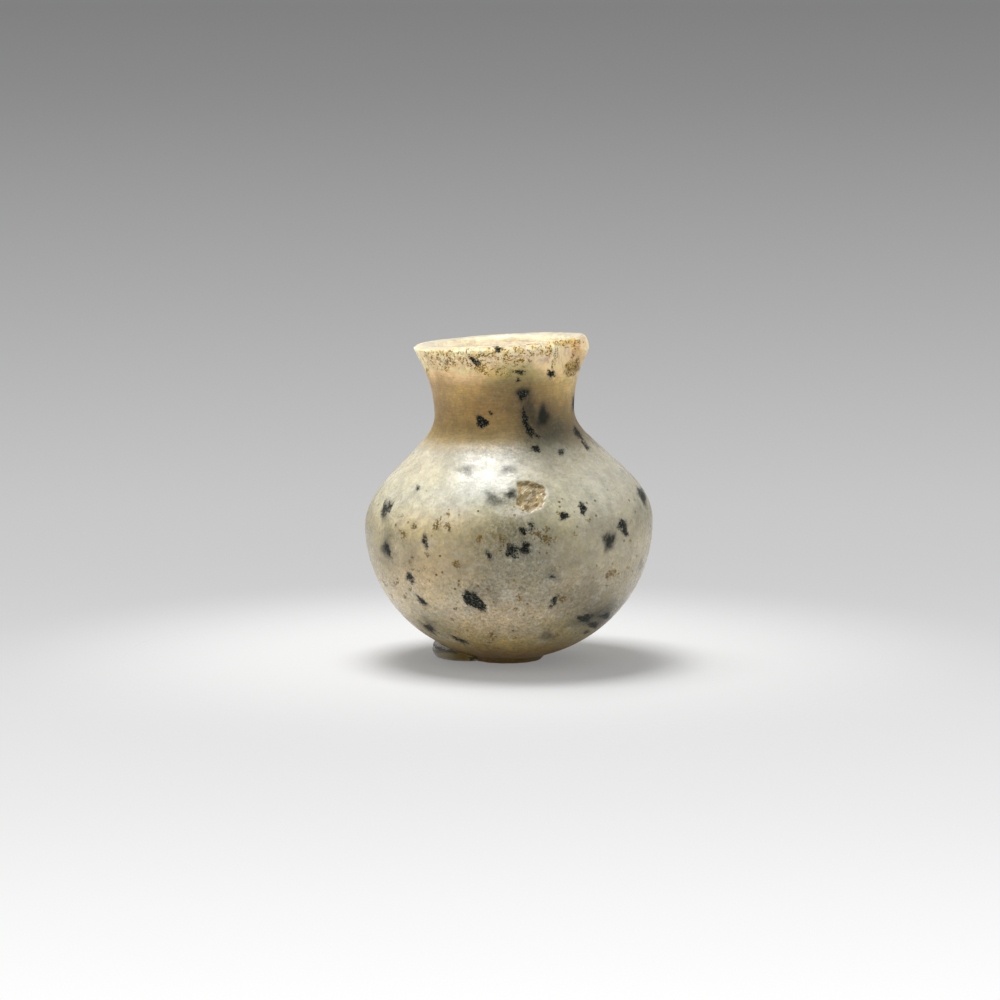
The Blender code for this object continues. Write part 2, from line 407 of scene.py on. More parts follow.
def flecks() -> list[Spot]:
    """Return the ochre flecks that the photograph shows on the belly, cluster by cluster."""
    rows = [
        (438, 521.5, 3, 3), (436.5, 527, 5, 6, -35), (448, 527, 4.5, 7, 10), (448, 514, 3, 3),
        (414.5, 526, 3.5, 5.5, -15), (403.5, 535.5, 5, 5), (401, 532, 2, 5, 40), (402, 515.5, 2, 2),
        (426, 552, 2.5, 2.5), (428.5, 556, 3, 3), (412, 557, 2.5, 2.5), (410, 562, 3, 3.5),
        (404, 565, 2.5, 2.5), (396, 553.5, 3, 3), (412, 569.5, 3, 2.5), (424, 568.5, 2, 4, -15),
        (420, 571.5, 4, 1.8), (456, 564, 5, 5, -30), (460, 563, 2.5, 2), (479, 539, 4, 6),
        (397, 583, 2.5, 5, -35), (394, 585, 5, 2, 35), (398, 579, 2.5, 2.5), (384.5, 583, 2, 6, 35),
        (391.5, 596, 2, 4, 35), (410, 588.7, 3, 4.5, 20), (405.5, 597, 2.5, 4, 20),
        (428.5, 580.5, 2, 3, 20), (435.5, 608.5, 3, 2.5), (459, 585, 3, 3), (455.5, 608.7, 3, 3),
        (452, 619, 3, 3), (537, 534, 9, 4, -10), (547, 529, 3.5, 4.5, -30), (545, 540, 6, 3.5, -20),
        (549.5, 539, 3.5, 2.5), (543.5, 544.5, 4.5, 1.8), (555, 538.5, 3.5, 3), (575.5, 534, 3.5, 2.8),
        (500, 538, 2, 6, -25), (504, 541, 2, 7, -20), (501.5, 551, 3, 3.5), (559, 513.5, 5, 2.5, -30),
        (530, 562, 2, 2), (514.5, 561.5, 2, 2), (489, 589, 5, 2.5), (519, 597.5, 4.5, 4.5),
        (520, 588.5, 2, 2), (516, 609, 5, 2.2), (524, 615, 2.2, 2.2), (562, 598.3, 7, 5),
        (572, 602, 4.5, 4), (491, 634.5, 4, 4), (515, 638, 4, 2), (558, 634.5, 3, 3),
        (489.5, 642, 6, 2.2), (487, 646, 5, 2.2), (610, 573, 4, 5, -20), (615, 571, 3.5, 3),
        (618, 576.5, 2.2, 2), (608, 578, 4, 2.5), (628.5, 568, 2.5, 3), (632.5, 571.5, 2, 2),
        (630.5, 541, 2, 2.8), (606.5, 586, 2.2, 2.2), (588, 521, 4, 2, -40), (593, 578, 2, 2),
        (631, 559, 2, 2), (572, 367, 11, 10), (570, 373, 8, 5), (577, 363, 5, 7)]
    return [Spot(*row) for row in rows]


def buried_grains() -> list[Spot]:
    """Return the blurred grains that the photograph shows under the surface."""
    rows = [
        (543, 417, 13, 20, 0, 1.5), (523, 394, 12, 15, 0, 1.5), (466, 470, 13, 12, 0, 0.8),
        (507, 470, 14, 13, 0, 0.74), (511, 494, 11, 10, 0, 1.25), (493, 499, 18, 13, -30, 0.85),
        (386, 549, 9, 18, 0, 1.2), (385, 518, 10, 12, 0, 0.6), (473, 593, 18, 12, -28, 0.5),
        (388, 538, 12, 34, 0, 0.45), (609, 541, 11, 21, -10, 1.4), (641, 565, 5, 13, -15, 0.7),
        (553, 575, 12, 16, 15, 0.5), (551, 577, 8, 8, 0, 0.5), (548, 636, 16, 8, 0, 0.7),
        (545, 360, 12, 9, 0, 0.4), (529, 410, 16, 36, -8, 0.7), (598, 617, 42, 20, 12, 0.85),
        (430, 623, 16, 10, -40, 0.5), (495, 602, 12, 10, 0, 0.5), (482, 602, 30, 20, 0, 0.35)]
    return [Spot(*row) for row in rows]


@dataclass(frozen=True)
class Wash:
    """A broad wash that multiplies the stone's colour, placed and sized as a spot is. Some of them are
    the stone's own stains and veils, and some are painted highlight, painted shade and painted bounce
    light.

    The table below gives each wash as a row of these values. A colour's parts are factors: 1 changes
    nothing, more is lighter and less is darker.
    """

    x: float
    y: float
    wide: float
    tall: float
    colour: tuple[float, float, float]
    turn: float = 0.0


def stain_and_light_washes() -> list[Wash]:
    """Return each broad wash, set against the photograph: the stone's own stains and veils, and painted
    light and shade.
    """
    # Painted light in this table: (482, 446), (482, 443) and (490, 460) are a painted highlight on the
    # shoulder's top; (555, 431) is painted shade beside the neck, and the dark neck stains at (512,
    # 376), (520, 394) and (548, 428) are partly the stone's dark veins and partly painted shade under
    # the lip; (580, 622), (500, 620), (401, 602) and (408, 590) are painted bounce light from the
    # floor, low on the belly; (562, 355) and (568, 346) are partly a painted highlight on the lip's
    # flake.
    rows = [
        (436, 362, 44, 50, (1.05, 1.0, 0.95)), (478, 380, 64, 28, (1.20, 1.14, 1.12)),
        (580, 354, 20, 32, (0.84, 0.76, 0.62)), (572, 367, 16, 14, (0.38, 0.25, 0.11)),
        (434, 382, 46, 24, (0.90, 0.82, 0.76)), (464, 381, 46, 14, (0.88, 0.88, 0.98)),
        (562, 355, 15, 26, (1.25, 0.98, 0.96)), (538, 441, 36, 24, (0.78, 0.84, 0.76)),
        (571, 385, 28, 36, (1.0, 1.07, 1.16)), (480, 411, 40, 26, (1.0, 0.98, 0.87)),
        (512, 414, 28, 28, (1.10, 1.09, 0.94)), (391, 561, 36, 36, (0.93, 0.91, 0.86)),
        (632, 531, 36, 38, (1.13, 1.13, 1.11)), (450, 592, 40, 32, (1.12, 1.13, 1.12)),
        (626, 592, 32, 30, (1.09, 1.10, 1.15)), (510, 440, 34, 24, (1.06, 1.08, 1.20)),
        (480, 650, 50, 16, (0.92, 0.86, 0.60)), (536, 407, 22, 22, (1.15, 1.14, 0.92)),
        (482, 446, 70, 12, (1.14, 1.14, 1.14)), (401, 602, 44, 60, (1.10, 1.12, 1.20)),
        (381, 560, 30, 40, (0.93, 0.90, 0.84)), (432, 508, 80, 36, (0.95, 0.96, 1.08)),
        (582, 356, 14, 30, (0.84, 0.76, 0.60)), (566, 335, 62, 13, (0.60, 0.60, 0.64)),
        (568, 346, 40, 10, (1.25, 1.02, 0.98)), (494, 339, 9, 5, (0.84, 0.72, 0.60)),
        (543, 339, 16, 4, (0.80, 0.66, 0.50)), (555, 431, 24, 30, (0.72, 0.80, 0.62)),
        (482, 406, 54, 34, (0.97, 0.90, 0.80)), (440, 566, 80, 50, (1.0, 1.01, 1.05)),
        (525, 615, 110, 50, (0.98, 1.0, 1.08)), (640, 500, 40, 60, (0.94, 0.94, 0.90)),
        (549, 357, 10, 30, (1.0, 0.89, 0.90)), (640, 535, 40, 70, (1.08, 1.09, 1.10)),
        (416, 608, 76, 56, (1.20, 1.23, 1.28)), (580, 622, 76, 34, (1.15, 1.19, 1.20)),
        (512, 638, 90, 26, (1.02, 1.03, 1.28)), (416, 500, 120, 44, (0.87, 0.88, 0.87)),
        (500, 634, 150, 36, (1.02, 1.06, 1.20)), (556, 384, 50, 36, (1.25, 1.23, 1.18)),
        (512, 376, 60, 30, (0.70, 0.74, 0.58)), (520, 394, 70, 60, (0.42, 0.39, 0.20)),
        (590, 486, 120, 80, (0.92, 0.92, 0.88)), (551, 578, 70, 54, (0.89, 0.90, 0.89)),
        (548, 428, 74, 56, (0.33, 0.34, 0.32), -25), (470, 430, 110, 26, (0.92, 0.88, 0.76)),
        (432, 408, 40, 40, (0.92, 0.84, 0.74)), (430, 442, 50, 30, (1.25, 1.25, 1.28)),
        (482, 443, 84, 22, (1.24, 1.26, 1.34)), (572, 441, 70, 34, (0.72, 0.69, 0.58)),
        (582, 474, 90, 60, (0.86, 0.85, 0.84)), (440, 498, 130, 50, (0.89, 0.95, 1.06)),
        (415, 532, 90, 46, (1.16, 1.14, 1.08)), (505, 542, 90, 70, (0.93, 0.92, 0.80)),
        (592, 552, 80, 50, (1.12, 1.13, 1.12)), (618, 588, 40, 40, (1.18, 1.20, 1.20)),
        (490, 460, 100, 54, (1.18, 1.24, 1.34)), (415, 495, 90, 80, (1.16, 1.15, 1.10)),
        (448, 516, 120, 76, (1.55, 1.46, 1.26)), (462, 500, 70, 40, (1.12, 1.16, 1.28)),
        (492, 492, 70, 36, (0.92, 0.97, 1.04), -15), (520, 522, 90, 70, (0.68, 0.70, 0.66)),
        (572, 500, 90, 70, (1.24, 1.28, 1.32)), (515, 562, 150, 80, (0.70, 0.70, 0.68)),
        (450, 562, 80, 44, (1.20, 1.12, 0.96)), (557, 532, 60, 46, (1.20, 1.20, 1.14)),
        (408, 590, 90, 50, (1.30, 1.29, 1.28)), (500, 620, 180, 50, (1.62, 1.60, 1.72)),
        (590, 612, 110, 56, (0.46, 0.48, 0.49), 25), (612, 500, 90, 120, (1.08, 1.12, 1.25)),
        (432, 624, 60, 44, (0.72, 0.72, 0.68), -40), (380, 545, 34, 90, (1.12, 1.12, 1.06)),
        (425, 578, 70, 50, (1.12, 1.04, 0.94))]
    return [Wash(*row) for row in rows]


def crust_patches() -> list[Spot]:
    """Return the patches of brown pits that the photograph shows on the lip."""
    rows = [
        (470, 355, 104, 34, 6, 0.65), (520, 352, 64, 32, 6, 0.6), (490, 347, 130, 8, 5, 0.5),
        (566, 341, 30, 8, 6, 0.7), (556, 352, 6, 26, 4, 0.6), (419, 357, 8, 14, 0, 0.5),
        (427, 372, 8, 12, 0, 0.5), (435, 357, 9, 17, 0, 1), (447, 363, 9, 20, 0, 0.9),
        (458, 353, 16, 14, 0, 0.7), (466, 362, 14, 12, 0, 0.8), (482, 360, 22, 22, 0, 1),
        (488, 373, 18, 6, 0, 0.8), (503, 357, 18, 20, 0, 0.55), (522, 353, 20, 14, 0, 0.7),
        (507, 372, 44, 12, 0, 0.5), (547, 350, 14, 14, 0, 0.9), (553, 364, 4, 14, 0, 1),
        (445, 378, 30, 7, 0, 0.35), (578, 342, 18, 10, 0, 0.7), (562, 344, 10, 5, 0, 0.8),
        (571, 368, 13, 14, 0, 1), (574, 352, 4, 20, -20, 0.8)]
    return [Spot(*row) for row in rows]


def bruises() -> list[Spot]:
    """Return the whitish bruises round the shoulder's pit."""
    rows = [
        (517, 513, 30, 14, -8, 0.8), (547, 494, 4, 14, 0, 1), (540, 507, 16, 5, 30, 0.8),
        (500, 511, 14, 8, 0, 0.5), (508, 597, 26, 12, 0, 0.45), (450, 610, 40, 30, 0, 0.3)]
    return [Spot(*row) for row in rows]


def sugary_patches() -> list[Spot]:
    """Return the patches of coarse, sugary grain that the photograph shows on the belly."""
    rows = [
        # The first patch lies along the shoulder's top edge, where its white flecks are partly painted
        # glints of the highlight.
        (500, 452, 110, 26, 0, 0.7), (520, 506, 70, 50, 0, 0.8), (512, 550, 90, 90, 0, 0.85),
        (500, 605, 180, 80, 0, 1), (590, 628, 90, 40, 0, 0.8), (392, 530, 30, 70, 0, 0.6)]
    return [Spot(*row) for row in rows]


def ochre_clusters() -> list[Spot]:
    """Return the clusters of ochre specks on the belly."""
    rows = [
        (438, 524, 14, 14, 0, 0.8), (404, 535, 9, 8, 0, 0.6), (503, 541, 14, 16, 0, 0.75),
        (543, 536, 22, 16, -30, 0.9), (457, 564, 9, 7, 0, 0.8), (612, 574, 15, 11, 0, 0.9),
        (564, 599, 16, 8, 0, 0.7), (396, 582, 12, 12, -45, 0.7), (490, 638, 24, 12, 0, 0.6)]
    return [Spot(*row) for row in rows]


@dataclass
class Wall:
    """The jar's vertices as arrays, in millimetres."""

    own: np.ndarray
    outer: np.ndarray
    flake: np.ndarray
    pit: np.ndarray
    placed: np.ndarray = field(default_factory=lambda: np.zeros((0, 3)))
    normal: np.ndarray = field(default_factory=lambda: np.zeros((0, 3)))

    @property
    def radius(self) -> np.ndarray:
        """The distance of each vertex from the axis."""
        return np.hypot(self.own[:, 0], self.own[:, 1])

    @property
    def azimuth(self) -> np.ndarray:
        """The azimuth of each vertex."""
        return np.arctan2(self.own[:, 0], -self.own[:, 1])

    @property
    def level(self) -> np.ndarray:
        """The level of each vertex."""
        return self.own[:, 2]


@dataclass(frozen=True)
class Facet:
    """A plane that a flake left on the lip, over a range of azimuths. Its angles are in degrees."""

    azimuth: float
    tilt: float
    distance: float
    level: float
    start: float
    end: float
    ease_in: float = 1.0
    ease_out: float = 1.5
    least_slant: float = 0.3

    def beyond(self, wall: Wall, where: np.ndarray, uneven: np.ndarray) -> np.ndarray:
        """Measure how far some vertices stand outside the plane, towards the jar's axis.

        Args:
            wall: The jar's vertices.
            where: Which vertices are measured.
            uneven: How far the plane is raised at each of them, in millimetres.

        Returns:
            The distance each one has to move inwards to lie on the plane, from 0 up.
        """
        faces, tilt = math.radians(self.azimuth), math.radians(self.tilt)
        turn = wall.azimuth[where]
        out = wall.radius[where] * np.cos(turn - faces) * math.cos(tilt)
        out += (wall.level[where] - self.level) * math.sin(tilt)
        out -= self.distance * math.cos(tilt) + uneven
        inwards = out / (math.cos(tilt) * np.maximum(np.cos(turn - faces), self.least_slant))
        degrees = np.degrees(turn)
        share = smooth_step(self.start - self.ease_in, self.start + self.ease_in, degrees)
        share *= smooth_step(self.end + self.ease_out, self.end - self.ease_out, degrees)
        return np.maximum(inwards, 0.0) * share


@dataclass
class StoneJar:
    """The jar: a turned wall with its broken flakes, its grains and its stains."""

    form: JarForm
    view: PhotoView
    turn_steps: int = 320
    fine_spacing: float = 0.22
    outer_spacing: float = 0.42
    mouth_spacing: float = 0.5
    hollow_spacing: float = 0.95
    fine_above: float = 45.5
    lip_flake_azimuth: float = math.radians(58.0)
    lip_flake_reach: float = 6.5
    lip_flake_from: float = 42.0
    lip_flake: tuple[Facet, ...] = (
        Facet(azimuth=50.0, tilt=1.0, distance=12.1, level=49.0, start=37.0, end=65.0),
        Facet(azimuth=80.0, tilt=20.0, distance=13.4, level=50.3, start=58.0, end=112.0))
    pit_azimuth: float = math.radians(9.9)
    pit_level: float = 28.6
    pit_reach: float = 3.2
    pit_depth: float = 0.45
    pit_outline: tuple[tuple[float, float], ...] = (
        (-1.7, 2.8), (0.4, 2.9), (2.5, 1.8), (2.5, 0.2),
        (1.8, -2.1), (-0.7, -3.0), (-2.5, -1.3), (-1.7, 0.9))
    pit_edge: Lumps = Lumps(0.22, 0.8, 9.0)
    pit_rough: Lumps = Lumps(0.16, 0.7, 8.0)
    scar_azimuth: float = math.radians(-21.0)
    scar_level: float = 46.2
    scar_half_width: float = 2.8
    scar_depth: float = 0.22
    scar_reach: float = 3.0
    scar_bend: float = 0.7
    ledge_level: float = 35.8
    ledge_depth: float = 0.14
    ledge_start: float = 33.0
    ledge_fade: float = 37.0
    ledge_end: float = 42.0
    still_radius: float = 2.0
    grinding: Lumps = Lumps(0.06, 9.0, 1.0)
    ledge_wander: tuple[Lumps, Lumps] = (Lumps(0.5, 3.0, 13.0), Lumps(0.25, 0.9, 14.0))
    lip_rough: tuple[Lumps, Lumps] = (Lumps(0.09, 1.6, 2.0), Lumps(0.06, 0.6, 3.0))
    crest_rough: tuple[Lumps, Lumps] = (Lumps(0.10, 4.0, 4.0), Lumps(0.06, 1.1, 5.0))
    flake_rough: tuple[Lumps, Lumps] = (Lumps(0.16, 2.0, 6.0), Lumps(0.08, 0.6, 7.0))
    crest_wear: float = 0.08
    seed: int = 11

    def spacing(self, radius: float, level: float) -> float:
        """Return how far apart the rings are at a place on the section."""
        if self.form.is_outer(np.array([radius]), np.array([level]))[0]:
            return self.fine_spacing if level > self.fine_above else self.outer_spacing
        return self.mouth_spacing if level > self.fine_above - 6.0 else self.hollow_spacing

    def section(self) -> list[tuple[float, float]]:
        """Return the wall's section, from the hollow's floor over the crest down to the foot."""
        form = self.form
        line = np.vstack([form.inside, form.crest(), form.outside[::-1][1:]])
        steps = np.hypot(*np.diff(line, axis=0).T)
        reach = np.concatenate([[0.0], np.cumsum(steps)])
        radius, level = 0.0, float(line[0, 1])
        points = [(radius, level)]
        at = 0.0
        while True:
            at += self.spacing(radius, level)
            if at > reach[-1] - self.outer_spacing / 2.0:
                break
            radius = float(np.interp(at, reach, line[:, 0]))
            level = float(np.interp(at, reach, line[:, 1]))
            points.append((radius, level))
        points.append((0.0, float(line[-1, 1])))
        return points

    def spin(self) -> bmesh.types.BMesh:
        """Turn the section about the jar's axis."""
        wall = bmesh.new()
        corners = [wall.verts.new((radius, 0.0, level)) for radius, level in self.section()]
        edges = [wall.edges.new(pair) for pair in zip(corners, corners[1:])]
        bmesh.ops.spin(wall, geom=corners + edges, cent=(0.0, 0.0, 0.0), axis=(0.0, 0.0, 1.0),
                       dvec=(0.0, 0.0, 0.0), angle=math.tau, steps=self.turn_steps, use_merge=True)
        bmesh.ops.remove_doubles(wall, verts=wall.verts, dist=0.001)
        return wall

    def refine(self, wall: bmesh.types.BMesh) -> None:
        """Divide the faces where the flakes are broken out, for their sharper edges."""
        pit = self.on_section(self.pit_azimuth, self.pit_level)
        flake = self.on_section(self.lip_flake_azimuth, self.form.lip_level)
        places = np.array([corner.co for corner in wall.verts])
        near = np.linalg.norm(places - np.array(pit), axis=1) < self.pit_reach * 1.2
        near |= np.linalg.norm(places - np.array(flake), axis=1) < self.lip_flake_reach
        near &= self.form.is_outer(np.hypot(places[:, 0], places[:, 1]), places[:, 2])
        wall.verts.index_update()
        around = [edge for edge in wall.edges if all(near[corner.index] for corner in edge.verts)]
        bmesh.ops.subdivide_edges(wall, edges=around, cuts=1, use_grid_fill=True)

    def on_section(self, azimuth: float, level: float) -> Vector:
        """Return the place on the outside at an azimuth and a level, in the jar's own frame."""
        radius = float(np.interp(level, self.form.outside[:, 1], self.form.outside[:, 0]))
        return Vector((radius * math.sin(azimuth), -radius * math.cos(azimuth), level))

    def shape(self, wall: Wall) -> None:
        """Give the turned wall its uneven grinding, its flakes, its pit and its scar."""
        self.grind(wall)
        self.break_lip(wall)
        self.scar_lip(wall)
        self.sink_pit(wall)
        wall.own[:, 2] += wall.own[:, 0] * self.form.slope(wall.level)
        wall.placed = self.form.stand(wall.own)
        self.cut_foot(wall)

    def push(self, wall: Wall, amount: np.ndarray, where: np.ndarray) -> None:
        """Move some vertices outwards from the axis.

        Args:
            wall: The jar's vertices.
            amount: How far each chosen vertex moves, in millimetres.
            where: Which vertices are chosen.
        """
        radius = np.maximum(wall.radius[where], 0.001)
        wall.own[where, 0] *= 1.0 + amount / radius
        wall.own[where, 1] *= 1.0 + amount / radius

    def grind(self, wall: Wall) -> None:
        """Make the turned wall uneven, as hand grinding leaves it, and its lip rough."""
        form = self.form
        body = wall.radius > self.still_radius
        self.push(wall, self.grinding.at(wall.own[body]), body)
        ground = wall.outer & (wall.level > self.ledge_start) & (wall.level < self.ledge_end)
        broad, small = (wander.at(wall.own[ground]) for wander in self.ledge_wander)
        sunk = smooth_step(-0.25, 0.25, wall.level[ground] - (self.ledge_level + broad + small))
        sunk *= smooth_step(self.ledge_end, self.ledge_fade, wall.level[ground])
        self.push(wall, -self.ledge_depth * sunk, ground)
        lip = wall.outer & (wall.level > self.fine_above)
        share = smooth_step(self.fine_above, form.lip_level - 2.0, wall.level[lip])
        broad, small = (rough.at(wall.own[lip]) for rough in self.lip_rough)
        self.push(wall, (broad + small) * share, lip)
        top = wall.level > form.lip_level + 0.3
        broad, small = (rough.at(wall.own[top]) for rough in self.crest_rough)
        wall.own[top, 2] += broad + small - self.crest_wear

    def break_lip(self, wall: Wall) -> None:
        """Break the broad flake out of the lip, facet by facet."""
        mouth_radius = self.form.lip_radius - self.form.lip_wall
        near = (wall.level > self.lip_flake_from) & (wall.radius > mouth_radius + 0.4)
        near &= wall.outer | (wall.level > self.form.lip_level)
        broad, small = (rough.at(wall.own[near]) for rough in self.flake_rough)
        inwards = np.zeros(int(near.sum()))
        for facet in self.lip_flake:
            inwards = np.maximum(inwards, facet.beyond(wall, near, broad + small))
        wall.flake[near] = inwards
        self.push(wall, -inwards, near)

    def scar_lip(self, wall: Wall) -> None:
        """Sink the shallow scar under the lip, left of the front."""
        near = wall.outer & (np.abs(wall.level - self.scar_level) < self.scar_reach)
        across = wall.radius[near] * (wall.azimuth[near] - self.scar_azimuth) / self.scar_half_width
        rise = wall.level[near] - self.scar_level + self.scar_bend * across ** 2
        depth = smooth_step(0.15, -0.15, rise) * smooth_step(-2.6, -0.2, rise)
        depth *= smooth_step(1.35, 0.8, np.abs(across))
        self.push(wall, -self.scar_depth * depth, near)

    def sink_pit(self, wall: Wall) -> None:
        """Sink the small flake's pit in the shoulder."""
        centre = np.array(self.on_section(self.pit_azimuth, self.pit_level))
        offset = wall.own - centre
        near = wall.outer & (np.linalg.norm(offset, axis=1) < self.pit_reach * 1.6)
        outwards = self.outward(centre)
        right = np.array([math.cos(self.pit_azimuth), math.sin(self.pit_azimuth), 0.0])
        above = np.cross(outwards, right)
        above *= math.copysign(1.0, above[2])
        place = np.stack([offset[near] @ right, offset[near] @ above], 1)
        edge = inside_outline(place, np.array(self.pit_outline)) + self.pit_edge.at(wall.own[near])
        wall.pit[near] = edge
        depth = smooth_step(-0.1, 0.65, edge) * self.pit_depth
        depth += smooth_step(0.0, 0.6, edge) * self.pit_rough.at(wall.own[near])
        wall.own[near] -= outwards * depth[:, None]

    def outward(self, place: np.ndarray) -> np.ndarray:
        """Return the outside's outward direction at a place of the jar's own frame."""
        outside = self.form.outside
        radius = math.hypot(place[0], place[1])
        step = 0.3
        above = np.interp(place[2] + step, outside[:, 1], outside[:, 0])
        below = np.interp(place[2] - step, outside[:, 1], outside[:, 0])
        normal = Vector((place[0] / radius, place[1] / radius, -(above - below) / (2.0 * step)))
        return np.array(normal.normalized())

    def cut_foot(self, wall: Wall) -> None:
        """Bring the underside down to a flat foot around the origin."""
        form = self.form
        foot = wall.outer & (wall.level < form.floor_thickness)
        beside = np.hypot(wall.placed[foot, 0], wall.placed[foot, 1])
        inner, outer = form.foot_radius - form.foot_blend, form.foot_radius + form.foot_blend
        wall.placed[foot, 2] *= smooth_step(inner, outer, beside)
        low = wall.placed[:, 2] < 0.0
        wall.placed[low, 2] = 0.0

    def build(self) -> bpy.types.Object:
        """Make the jar, paint its attributes and return its object."""
        turned = self.spin()
        self.refine(turned)
        bmesh.ops.recalc_face_normals(turned, faces=turned.faces)
        mesh = bpy.data.meshes.new("stone_jar")
        turned.to_mesh(mesh)
        turned.free()
        own = np.empty(len(mesh.vertices) * 3)
        mesh.vertices.foreach_get("co", own)
        own = own.reshape(-1, 3)
        outer = self.form.is_outer(np.hypot(own[:, 0], own[:, 1]), own[:, 2])
        wall = Wall(own, outer, np.zeros(len(own)), np.full(len(own), -2.0))
        self.shape(wall)
        mesh.vertices.foreach_set("co", (wall.placed * MM).ravel())
        mesh.update()
        normal = np.empty(len(mesh.vertices) * 3)
        mesh.vertices.foreach_get("normal", normal)
        wall.normal = normal.reshape(-1, 3)
        mesh.shade_smooth()
        jar = bpy.data.objects.new("stone_jar", mesh)
        bpy.context.scene.collection.objects.link(jar)
        StonePaint(self.form, self.view, wall, jar, self.seed).apply()
        return jar


@dataclass
class StonePaint:
    """The attributes that say where the stone's grains, stains and tones are.

    A pixel is the width in millimetres of a pixel of the photograph at the jar.
    """

    form: JarForm
    view: PhotoView
    wall: Wall
    jar: bpy.types.Object
    seed: int
    pixel: float = 0.1595
    edge_waves: tuple[tuple[float, float, float], ...] = (
        (2.0, 0.14, 1.0), (3.0, 0.16, 2.3), (5.0, 0.10, 3.1))
    far_side_loss: float = 4.0
    hidden_from: float = 0.12
    hidden_strength: float = 0.6
    least_radius: float = 0.3
    crust_drop: float = 4.0
    crust_wander: Lumps = Lumps(1.0, 2.5, 12.0)
    speck_patches: Lumps = Lumps(1.0, 6.0, 15.0)
    # Tones by level, partly the stone's colour and partly painted light: the steps up to level 5 are
    # the stone's amber darkened further as painted shade under the jar; the dark band at levels 36.6 to
    # 41 is partly painted shade under the lip's overhang; the step at 34.6 is lighter partly as a
    # painted highlight on the shoulder's top.
    tones: tuple[tuple[float, float, float, float], ...] = (
        (0.0, 0.100, 0.055, 0.0), (2.0, 0.18, 0.095, 0.0), (5.0, 0.35, 0.24, 0.040),
        (10.0, 0.43, 0.34, 0.18), (22.0, 0.44, 0.38, 0.24), (30.0, 0.49, 0.45, 0.33),
        (34.6, 0.54, 0.49, 0.36), (36.6, 0.41, 0.30, 0.12), (41.0, 0.42, 0.26, 0.055),
        (45.0, 0.54, 0.36, 0.105), (47.5, 1.0, 0.78, 0.41), (49.5, 1.0, 0.86, 0.60))
    hollow_tone: tuple[float, float, float] = (0.75, 0.665, 0.48)
    # How far the crest's upward faces are darkened, as painted shade.
    crest_top_shade: tuple[float, float, float] = (0.58, 0.587, 0.605)

    def apply(self) -> None:
        """Write every attribute to the jar's mesh."""
        grains = self.depth(surface_grains(), edge=1.05, hidden=46, size=(0.35, 1.25), salt=1)
        self.write("grain", 0.5 + 0.5 * grains)
        ochre = self.depth(flecks(), edge=1.35, hidden=70, size=(0.15, 0.4), salt=2)
        self.write("fleck", 0.5 + 0.5 * ochre)
        self.write("buried", self.cover(buried_grains(), outer=1.5, inner=0.3,
                                       hidden=26, size=(0.8, 2.0)))
        self.write("bruise", self.cover(bruises(), outer=1.4, inner=0.3,
                                       hidden=5, size=(1.0, 2.0)))
        self.write("pitted", self.cover(crust_patches(), outer=1.25, inner=0.55,
                                       hidden=0, size=(1.0, 1.0)))
        self.write("ochre", self.cover(ochre_clusters(), outer=1.5, inner=0.2,
                                       hidden=24, size=(0.8, 2.4)))
        self.write("crust", self.crust())
        self.write("broken", self.broken())
        self.write("tooled", self.tooled())
        self.write("away", smooth_step(0.1, -0.2, self.facing()))
        self.write("pit", smooth_step(-0.12, 0.12, self.wall.pit))
        self.write("milky", self.milky())
        self.write("speckled", self.speckled())
        self.write("veiled", self.veiled())
        # stained marks a band low on the outside, from level 6 down to 2, where the material takes off
        # translucency and gloss, so the underside reads darker.
        self.write("stained", self.wall.outer * smooth_step(6.0, 2.0, self.wall.level))
        self.write_colour("tone", self.tone())

    def write(self, name: str, values: np.ndarray) -> None:
        """Write one number for each vertex."""
        layer = self.jar.data.attributes.new(name, "FLOAT", "POINT")
        layer.data.foreach_set("value", values.astype(np.float32))

    def write_colour(self, name: str, colours: np.ndarray) -> None:
        """Write one colour for each vertex."""
        layer = self.jar.data.attributes.new(name, "FLOAT_COLOR", "POINT")
        rows = np.concatenate([colours, np.ones((len(colours), 1))], 1)
        layer.data.foreach_set("color", rows.astype(np.float32).ravel())

    def reach(self, spot: Spot, spread: float) -> tuple[np.ndarray, np.ndarray] | None:
        """Measure how far vertices are from a spot of the photograph.

        Args:
            spot: The spot.
            spread: How many of the spot's radii are worth measuring.

        Returns:
            The indices of the near vertices and their distances in radii, or nothing off the jar.
        """
        start = self.view.place() * MM
        struck, place, normal, _ = self.jar.ray_cast(start, self.view.ray(spot.x, spot.y))
        if not struck:
            log.warning("the spot at %s, %s is off the jar", spot.x, spot.y)
            return None
        right, up, _ = self.view.axes()
        turn = math.radians(spot.turn)
        across = right * math.cos(turn) + up * math.sin(turn)
        above = up * math.cos(turn) - right * math.sin(turn)
        index, radii = self.around(np.array(place) / MM, np.array(normal), np.array(across),
                                   np.array(above), spot.wide * self.pixel / 2.0,
                                   spot.tall * self.pixel / 2.0, spread)
        sight = self.wall.placed[index] - np.array(self.view.place())
        sight /= np.linalg.norm(sight, axis=1)[:, None]
        beyond = (sight * self.wall.normal[index]).sum(1)
        return index, radii + self.far_side_loss * np.maximum(beyond, 0.0)

